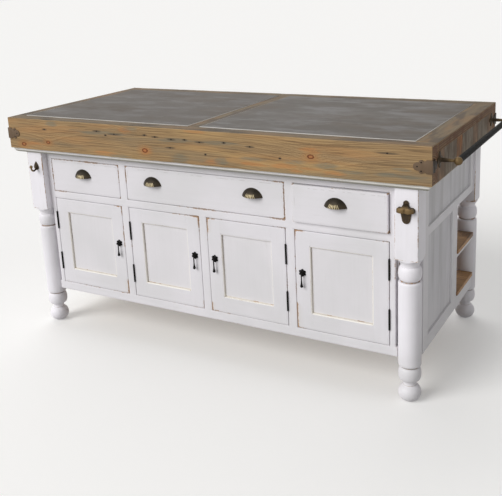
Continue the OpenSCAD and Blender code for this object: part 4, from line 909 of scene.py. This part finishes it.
def dress(node, material, seed, softness=1.0, reach=7.0, pith=None, across=None, free=0, cut_at=None,
          thin=None, beside=()):
    """A node's boards with their edges eased, grained and marked for wear, in place of the plain node.

    softness is how far its edges are rounded and reach how far its wear runs in, both in mm. across is the
    axis that a frame or panel is wide along, thin the axis that a frame is thin along, and free the side
    that a door opens at. beside names nodes that its boards are joined to. cut_at slices a long board every
    so many mm, so that its edges can be worn uneven.
    """
    mesh = merged_copy(node)
    if cut_at is not None:
        slice_along(mesh, cut_at * MM)
    if across is not None:
        mark_cream(mesh)
    number_boards(mesh)
    boxes = board_boxes(mesh, thin)
    own = len(boxes)
    for other in beside:
        neighbour = merged_copy(other)
        boxes += [(-1, low, high) for number, low, high in board_boxes(neighbour, thin)]
        neighbour.free()
    joined_to = []
    offsets = ()
    if thin is not None:
        cut_boards(mesh, boxes, own, (0.0,))
        joined_to = boxes
        offsets = (-reach * MM, reach * MM)
    if across is not None:
        soften_lips(mesh, joined_to, LIP_ROUND)
    soften(mesh, free_edges(mesh, joined_to, 30), softness * MM)
    cut_boards(mesh, boxes, own, offsets, reach * MM)
    mark_edges(mesh, joined_to)
    if across is not None:
        mark_border(mesh, across, free)
    if cut_at is not None:
        wear_uneven(mesh, UNEVEN_DEPTH, seed)
    lay_grain(mesh, seed, pith)
    piece = finished(mesh, node + "_finish", material, body_of(node))
    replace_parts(piece, node)
    return piece


def wear_uneven(mesh, depth, seed):
    """Presses the arrises in by a wandering amount, as on a board that has been knocked about."""
    wear = mesh.verts.layers.float["wear"]
    low, high = spans(mesh.verts)
    middle = (low + high) / 2
    for vert in mesh.verts:
        if vert[wear] < 0.5:
            continue
        place = vert.co * 18 + Vector((seed, 0, 0))
        press = depth * max(noise.noise(place) + 0.5 * noise.noise(vert.co * 60), 0)
        inward = Vector((0, middle.y - vert.co.y, middle.z - vert.co.z)).normalized()
        vert.co += inward * press


def never(place):
    """What nobody handles isn't rubbed."""
    return 0.0


def cast_metal(node, material, rub_and_light_of=never, softness=None, fan=False):
    """A metal fitting with its ridges and the places that hands rub marked for the shader; on the straps the
    same mark is painted light on their front and rear faces.
    """
    mesh = merged_copy(node)
    if softness is not None:
        soften(mesh, sharp_edges(mesh), softness * MM)
    mark_ridges(mesh, *CAST_BENDS)
    rub = mesh.verts.layers.float.new("rub")
    for vert in mesh.verts:
        vert[rub] = min(max(rub_and_light_of(vert.co), 0), 1)
    if fan:
        mark_fan(mesh)
    piece = finished(mesh, node + "_finish", material, body_of(node))
    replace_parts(piece, node)


def mark_fan(mesh):
    """Places on each cup pull from its sphere's middle, turned so that Z points at the fan's pole."""
    fan = mesh.verts.layers.float_vector.new("fan")
    turn = Matrix.Rotation(-math.asin((CUP_SPHERE - CUP_REACH) / CUP_SPHERE), 3, "X")
    for group in solids_of(mesh):
        low, high = spans(group)
        middle = Vector(((low.x + high.x) / 2, high.y + CUP_SPHERE - CUP_REACH, low.z - CUP_DROP))
        for vert in group:
            vert[fan] = turn @ (vert.co - middle)


# ---- turned legs ----

LEG_HALF = 40 * MM
LEG_TURNS = 96
BLOCK_HEIGHT = 244 * MM
BLOCK_ROW = 11 * MM                   # height of the rows of faces on the block
BLOCK_RADIUS = 0.76 * 2 * LEG_HALF    # before the block is planed square
SHOULDER_RISE = 30 * MM
NECK_UNDER_BLOCK = 31 * MM
UPPER_BEAD = 48 * MM
LOWER_BEAD = 49 * MM
BEAD_SINK = 9 * MM
BEAD_GROOVE = 5 * MM
SHAFT_ROUND = 6 * MM
SHAFT_ROW = 14 * MM                   # height of the rows of faces on the shaft
FOOT_HEIGHT = 62 * MM
FOOT_CUT = 0.97                       # how far below its middle the ball is cut flat, in radii
FOOT_TOP = 58                         # degrees above its middle at which the ball ends
NECK_HEIGHT = 16 * MM
NECK_RADIUS = 22 * MM
# the neck's outline: how far it lies outside its least radius, and above the foot's height, in mm
NECK_POINTS = [(0.8, -2), (0, 1), (0, 8), (3, 14)]
ARRIS_WORN = 8 * MM                   # width of the worn strip along the block's arrises
ARRIS_EASED = 1.2 * MM
ARRIS_KNOCKED = 2.5 * MM
leg_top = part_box("leg_front_left")[1].z
block_low = leg_top - BLOCK_HEIGHT
shoulder_low = block_low - SHOULDER_RISE
upper_bead_low = shoulder_low - UPPER_BEAD
turned = LEG_HALF - 0.5 * MM          # radius of the shaft and the beads


def curve(middle, radius, start, end, steps):
    """Points (radius from the axis, height) along an arc, with its angles in degrees."""
    points = []
    for i in range(steps + 1):
        angle = math.radians(start + (end - start) * i / steps)
        points.append((middle[0] + radius * math.cos(angle), middle[1] + radius * math.sin(angle)))
    return points


def bead(low, high, sink):
    """A swelling ring: full radius in its middle, and rounded in by sink at both ends."""
    half = (high - low) / 2
    return [(radius, low + half + (height * half / sink))
            for radius, height in curve((turned - sink, 0), sink, -90, 90, 20)]


def straight(radius, low, high, spacing):
    """Points up a straight side, about the spacing apart."""
    count = max(int((high - low) / spacing), 1)
    return [(radius, low + (high - low) * i / count) for i in range(count + 1)]


def shoulder():
    """The cove that opens from the upper bead's neck to the square block."""
    flare = BLOCK_RADIUS - NECK_UNDER_BLOCK
    rise = block_low - shoulder_low
    steps = [math.radians(7.5 * i) for i in range(13)]
    return [(BLOCK_RADIUS - flare * math.cos(a), shoulder_low + rise * math.sin(a)) for a in steps]


def leg_profile():
    """From the middle of the foot's flat underside up the outside to the middle of the block's top."""
    foot_middle = FOOT_HEIGHT / 2
    ball = foot_middle / FOOT_CUT
    flat = math.degrees(math.asin(FOOT_CUT))
    lower_bead_low = FOOT_HEIGHT + NECK_HEIGHT
    lower_bead_top = lower_bead_low + LOWER_BEAD
    shaft_low = lower_bead_top + BEAD_GROOVE
    shaft_top = upper_bead_low - BEAD_GROOVE
    points = [(0, 0)]
    points += curve((turned - ball, foot_middle), ball, -flat, FOOT_TOP, 22)
    points += [(NECK_RADIUS + out * MM, FOOT_HEIGHT + up * MM) for out, up in NECK_POINTS]
    points += bead(lower_bead_low, lower_bead_top, BEAD_SINK)
    points += [(turned - BEAD_SINK, shaft_low)]
    points += curve((turned - SHAFT_ROUND, shaft_low + SHAFT_ROUND), SHAFT_ROUND, -90, 0, 6)
    points += straight(turned, shaft_low + 2 * SHAFT_ROUND, shaft_top - 2 * SHAFT_ROUND, SHAFT_ROW)
    points += curve((turned - SHAFT_ROUND, shaft_top - SHAFT_ROUND), SHAFT_ROUND, 0, 90, 6)
    points += [(turned - BEAD_SINK, shaft_top)]
    points += bead(upper_bead_low, shoulder_low, BEAD_SINK)
    points += shoulder()
    points += straight(BLOCK_RADIUS, block_low + 2 * MM, leg_top, BLOCK_ROW)
    points += [(0, leg_top)]
    return points


def turned_leg(node, seed):
    """One leg spun from its profile, then planed square above the shoulder, with its arrises knocked."""
    low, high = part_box(node)
    middle = (low + high) / 2
    mesh = bmesh.new()
    verts = [mesh.verts.new((middle.x + radius, middle.y, height)) for radius, height in leg_profile()]
    edges = [mesh.edges.new(pair) for pair in zip(verts, verts[1:])]
    bmesh.ops.spin(mesh, geom=verts + edges, cent=(middle.x, middle.y, 0), axis=(0, 0, 1), dvec=(0, 0, 0),
                   angle=2 * math.pi, steps=LEG_TURNS, use_merge=True, use_duplicate=False)
    bmesh.ops.remove_doubles(mesh, verts=mesh.verts, dist=0.02 * MM)
    for vert in mesh.verts:
        for axis in (0, 1):
            offset = vert.co[axis] - middle[axis]
            vert.co[axis] = middle[axis] + min(max(offset, -LEG_HALF), LEG_HALF)
    bmesh.ops.dissolve_degenerate(mesh, dist=0.01 * MM, edges=mesh.edges)
    bmesh.ops.recalc_face_normals(mesh, faces=mesh.faces)
    mark_ridges(mesh, *TURNED_BENDS)
    wear = mesh.verts.layers.float.new("wear")
    ridge = mesh.verts.layers.float["ridge"]
    hollow = mesh.verts.layers.float["hollow"]
    for vert in mesh.verts:
        offsets = sorted((abs(vert.co.x - middle.x), abs(vert.co.y - middle.y)))
        if vert.co.z > shoulder_low + 2 * MM:
            vert[hollow] *= vert.co.z < block_low - 4 * MM
            on_face = offsets[1] > LEG_HALF - MM
            vert[wear] = max(1 - (LEG_HALF - offsets[0]) / ARRIS_WORN, 0) if on_face else 0
            under = max(1 - abs(vert.co.z - block_low) / BLOCK_ROW, 0)
            vert[wear] = max(vert[wear], under * (0.7 + 0.3 * offsets[0] / LEG_HALF))
            if offsets[0] > LEG_HALF - 0.1 * MM:
                knock = noise.noise(Vector((seed, vert.co.x * 9, vert.co.z * 26)))
                press = ARRIS_EASED + ARRIS_KNOCKED * max(knock, 0)
                for axis in (0, 1):
                    vert.co[axis] -= math.copysign(press / 2, vert.co[axis] - middle[axis])
        else:
            vert[wear] = 0.55 * vert[ridge]
    lay_grain(mesh, seed)
    piece = finished(mesh, node + "_finish", LIT_LEG_PAINT, body_of(node), 40)
    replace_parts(piece, node)


for number, leg in enumerate(("leg_front_left", "leg_front_right", "leg_rear_left", "leg_rear_right")):
    turned_leg(leg, 10 + number)


# ---- base ----

dress("face_frame_rails", PAINT, seed=20, thin=1, beside=("face_frame_stiles",))
dress("face_frame_stiles", PAINT, seed=21, thin=1, beside=("face_frame_rails",))
dress("corner_returns", PAINT, seed=22)

dress("side_frame_left", PAINT_SOUND, seed=30, across=1, thin=0)
dress("side_frame_right", PAINT_SOUND, seed=31, across=1, thin=0)
dress("rear_frame", PAINT_SOUND, seed=32, across=0, thin=1)

dress("side_rear_panels", SHADED_SIDE_PAINT, seed=40)
for number, node in enumerate(("cupboard_back", "rear_shelf_rails", "rear_dividers")):
    dress(node, PAINT_SOUND, seed=41 + number)

for number, node in enumerate(("cupboard_floor", "partitions", "cupboard_shelves", "drawer_deck")):
    dress(node, INNER, seed=50 + number)

for number, node in enumerate(("drawer_guides", "drawer_kickers")):
    dress(node, INNER, seed=60 + number)

dress("rear_shelves", SHELF_WOOD, seed=70)
dress("cornice", CORNICE_PAINT, softness=0.5, seed=71)

FREE_SIDE = {1: 1, 2: 1, 3: -1, 4: -1}    # the side that each door opens at: 1 is its +X side
for number, free in FREE_SIDE.items():
    door = f"door_{number}"
    dress(door + "_frame", DOOR_PAINT, softness=1.5, seed=80 + number, across=0, free=free,
          thin=1)
    dress(door + "_panel", PANEL_PAINT, seed=90 + number, across=0)
    cast_metal(door + "_fittings", BLACK)
    cast_metal(door + "_drop", BLACK)

for number, side in enumerate(("left", "middle", "right")):
    dress(side + "_drawer_front", DRAWER_PAINT, softness=1.5, seed=100 + number, across=0)
    dress(side + "_drawer_box", DRAWER_WOOD, seed=110 + number)


# ---- metal fittings ----

CUP_RUB_TOP = 30 * MM           # height above a cup pull's lower lip at which its rubbing begins
CUP_RUB_HEIGHT = 26 * MM
STRAP_STEP = 0.5 * MM           # in from the worktop's front and rear faces, where the straps' painted light begins
STRAP_NAIL = 2.6 * MM           # radius of a nail's head
STRAP_NAIL_HEIGHT = 0.9 * MM
STRAP_NAILS = [(47, 0), (34, 14), (34, -14)]    # in from the board's end, up from the strap's middle, in mm
OPENER_PLATE = 3 * MM           # thickness of the bottle opener's plate
OPENER_SCREW = 3.6 * MM         # radius of a screw's head
OPENER_SCREW_HEIGHT = 1.6 * MM
OPENER_SCREW_INSET = 9 * MM     # from the plate's top and bottom
# a fitting, the axis that it stands out along, and in mm where its rubbing begins and how far it grows
RUBBED_FITTINGS = [("bottle_opener", 1, 5, 16), ("coat_hook", 1, 16, 14), ("towel_rail_brackets", 0, 8, 50)]
worktop_middle = (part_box("front_board")[0].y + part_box("rear_board")[1].y) / 2
worktop_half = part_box("rear_board")[1].y - worktop_middle


def cup_rub(low):
    """Fingers rub a cup pull towards its lower lip."""
    return lambda place: (low + CUP_RUB_TOP - place.z) / CUP_RUB_HEIGHT


def strap_lit_front(place):
    """The straps are painted lighter on the front and the rear of the worktop than on its ends: painted light
    on those faces, painted shade on the ends.
    """
    return (abs(place.y - worktop_middle) - worktop_half + STRAP_STEP) / STRAP_STEP


def outer_rub(node, axis, begins, grows):
    """Hands rub a fitting where it stands out, to the right along X or to the front along Y."""
    low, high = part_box(node)
    back = low.x if axis == 0 else high.y
    outwards = 1 if axis == 0 else -1
    return lambda place: (outwards * (place[axis] - back) - begins) / grows


for node in ("left_drawer_pull", "middle_drawer_pulls", "right_drawer_pull"):
    cast_metal(node, BRASS, cup_rub(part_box(node)[0].z), fan=True)

cast_metal("hinge_frame_leaves", BLACK)
cast_metal("corner_straps", IRON, strap_lit_front, softness=0.5)
cast_metal("towel_rail_bar", BLACK)
for node, axis, begins, grows in RUBBED_FITTINGS:
    cast_metal(node, CAST_BRASS, outer_rub(node, axis, begins * MM, grows * MM))


def nail_heads(name, spots, radius, height, material, body):
    """Low domed heads that face the front, one at each spot."""
    mesh = bmesh.new()
    turn = Vector((0, -1, 0)).to_track_quat("Z", "Y").to_matrix().to_4x4()
    flat = Matrix.Diagonal((radius, radius, height, 1))
    for spot in spots:
        bmesh.ops.create_uvsphere(mesh, u_segments=16, v_segments=8, radius=1,
                                  matrix=Matrix.Translation(spot) @ turn @ flat)
    mark_ridges(mesh, *CAST_BENDS)
    mesh.verts.layers.float.new("rub")
    finished(mesh, name, material, body)


strap_low, strap_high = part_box("corner_straps")
strap_middle = (strap_low.z + strap_high.z) / 2
nails = [Vector((end + inward * along * MM, strap_low.y, strap_middle + up * MM))
         for along, up in STRAP_NAILS for end, inward in ((board_left, 1), (board_right, -1))]
nail_heads("strap_nails", nails, STRAP_NAIL, STRAP_NAIL_HEIGHT, BLACK, body_of("corner_straps"))

opener_low, opener_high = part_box("bottle_opener")
opener_middle = (opener_low.x + opener_high.x) / 2
screws = [Vector((opener_middle, opener_high.y - OPENER_PLATE, height))
          for height in (opener_high.z - OPENER_SCREW_INSET, opener_low.z + OPENER_SCREW_INSET)]
nail_heads("opener_screws", screws, OPENER_SCREW, OPENER_SCREW_HEIGHT, CAST_BRASS,
           body_of("bottle_opener"))


# ---- worktop ----

NARROW_PLANK = 100 * MM
HEART_PLANK = 1         # which narrow plank, counted from 0 at the front, is bright heartwood
BROWNED = 0.45          # tint of the other narrow ones


def mark_narrow(piece):
    """Tints the narrow planks: one is bright heartwood, and the others are browned."""
    mesh = bmesh.new()
    mesh.from_mesh(piece.data)
    tint = mesh.verts.layers.float["tint"]
    narrow = [group for group in solids_of(mesh) if spans(group)[1].y - spans(group)[0].y < NARROW_PLANK]
    narrow.sort(key=lambda group: spans(group)[0].y)
    for vert in mesh.verts:
        vert[tint] = 0.0
    for number, group in enumerate(narrow):
        for vert in group:
            vert[tint] = 1.0 if number == HEART_PLANK else BROWNED
    mesh.to_mesh(piece.data)
    mesh.free()


planks = dress("core_planks", PLANKS, softness=0.8, seed=120)
mark_narrow(planks)
dress("front_board", FRONT_PINE, softness=2.0, reach=5, seed=121, pith=(0.02, 0.075), cut_at=20)
dress("rear_board", PINE, softness=2.0, reach=5, seed=122, cut_at=20)
dress("end_boards", PINE, softness=1.2, reach=5, seed=123)
dress("divider_board", PINE, softness=1.2, reach=5, seed=124)
dress("zinc_beds", INNER, seed=125)


def lay_zinc():
    """The two zinc trays: flat sheets whose folded edges carry a painted highlight, brightest along the
    front. The left one is duller.
    """
    mesh = merged_copy("zinc_sheets")
    top = max(v.co.z for v in mesh.verts)
    soften(mesh, [e for e in sharp_edges(mesh) if min(v.co.z for v in e.verts) > top - 0.1 * MM], 0.6 * MM)
    faces = [f for f in mesh.faces if f.normal.z > 0.99 and f.calc_center_median().z > top - 0.1 * MM]
    bmesh.ops.inset_individual(mesh, faces=faces, thickness=FOLD_HIGHLIGHT, use_even_offset=True)
    wear = mesh.verts.layers.float.new("wear")
    front = min(v.co.y for v in mesh.verts)
    for vert in mesh.verts:
        # Full painted highlight along the front edges, half along the others.
        vert[wear] = 1.0 if vert.co.y < front + 2 * FOLD_HIGHLIGHT else 0.5
    for face in faces:
        for vert in face.verts:
            vert[wear] = 0.0
    tint = mesh.verts.layers.float.new("tint")
    sheets = sorted(solids_of(mesh), key=lambda group: spans(group)[0].x)
    for vert in sheets[0]:
        vert[tint] = 1.0
    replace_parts(finished(mesh, "zinc_sheets_finish", ZINC, body_of("zinc_sheets")), "zinc_sheets")


lay_zinc()


# ---- floor, light and camera ----

ROOM_LIGHT = 0.24      # light from all round, as a share of white
BACKDROP = 0.80        # how pale the floor and the room look
FLOOR_LIFT = 0.22      # what is added to the floor's look to make it as pale as the room
KEY_LIGHT = 0.76       # light on a surface square to each lamp
BACK_LIGHT = 0.34
SIDE_LIGHT = 0.10
FLOOR_HALF = 60        # metres from the floor's middle to its edge
SENSOR_WIDTH = 36      # mm
LENS = 55.06           # mm
LENS_SHIFT = (-0.0339, -0.1548)
CAMERA_PLACE = (1.5372, -2.6349, 1.4370)
CAMERA_TURN = (75.681, 2.433, 28.695)    # degrees about X, Y and Z


def seen_directly(tree):
    """1 for what the camera, a reflection or glass sees, 0 for light that falls on things."""
    rays = put(tree, "LightPath").outputs
    return joined(tree, rays["Is Camera Ray"], rays["Is Glossy Ray"], rays["Is Transmission Ray"])


def lay_floor():
    """A pale floor that runs out to the horizon and holds the object's shadow."""
    mesh = bmesh.new()
    bmesh.ops.create_grid(mesh, x_segments=1, y_segments=1, size=FLOOR_HALF)
    data = bpy.data.meshes.new("floor")
    mesh.to_mesh(data)
    mesh.free()
    floor = bpy.data.objects.new("floor", data)
    bpy.context.scene.collection.objects.link(floor)
    material, tree, surface = finish_of("pale floor")
    fill(tree, surface, {"Base Color": shade(232, 231, 229), "Roughness": 0.9, "Specular IOR Level": 0.0,
                         "Emission Color": (1, 1, 1, 1), "Emission Strength": FLOOR_LIFT})
    dull = put(tree, "BsdfDiffuse", {"Color": shade(190, 189, 188)}).outputs[0]
    mixed = put(tree, "MixShader", {0: seen_directly(tree), 1: dull, 2: surface.outputs[0]}).outputs[0]
    fill(tree, tree.nodes["Material Output"], {"Surface": mixed})
    data.materials.append(material)


def add_sun(name, towards, share, spread):
    """A lamp as far off as the sun and as wide as the spread in degrees, which lies in that direction."""
    light = bpy.data.lights.new(name, "SUN")
    light.energy = math.pi * share
    light.angle = math.radians(spread)
    lamp = bpy.data.objects.new(name, light)
    lamp.rotation_euler = Vector(towards).to_track_quat("Z", "Y").to_euler()
    bpy.context.scene.collection.objects.link(lamp)


def light_room():
    world = bpy.data.worlds.new("soft room")
    bpy.context.scene.world = world
    world.use_nodes = True
    tree = world.node_tree
    strength = ease(tree, seen_directly(tree), 0.0, 1.0, ROOM_LIGHT, BACKDROP)
    fill(tree, tree.nodes["Background"], {"Color": (1, 1, 1, 1), "Strength": strength})
    add_sun("key lamp", (-0.45, -0.75, 0.48), KEY_LIGHT, 40)
    add_sun("back lamp", (-0.5, 0.55, 0.65), BACK_LIGHT, 60)
    add_sun("side lamp", (0.95, -0.15, 0.3), SIDE_LIGHT, 60)


def set_camera():
    """The camera stands where the photograph was taken from, with its picture shifted as there."""
    data = bpy.data.cameras.new("camera")
    data.sensor_width = SENSOR_WIDTH
    data.lens = LENS
    data.shift_x, data.shift_y = LENS_SHIFT
    camera = bpy.data.objects.new("camera", data)
    camera.location = CAMERA_PLACE
    camera.rotation_euler = [math.radians(angle) for angle in CAMERA_TURN]
    bpy.context.scene.collection.objects.link(camera)
    bpy.context.scene.camera = camera


lay_floor()
light_room()
set_camera()
bpy.context.scene.view_settings.view_transform = "Standard"
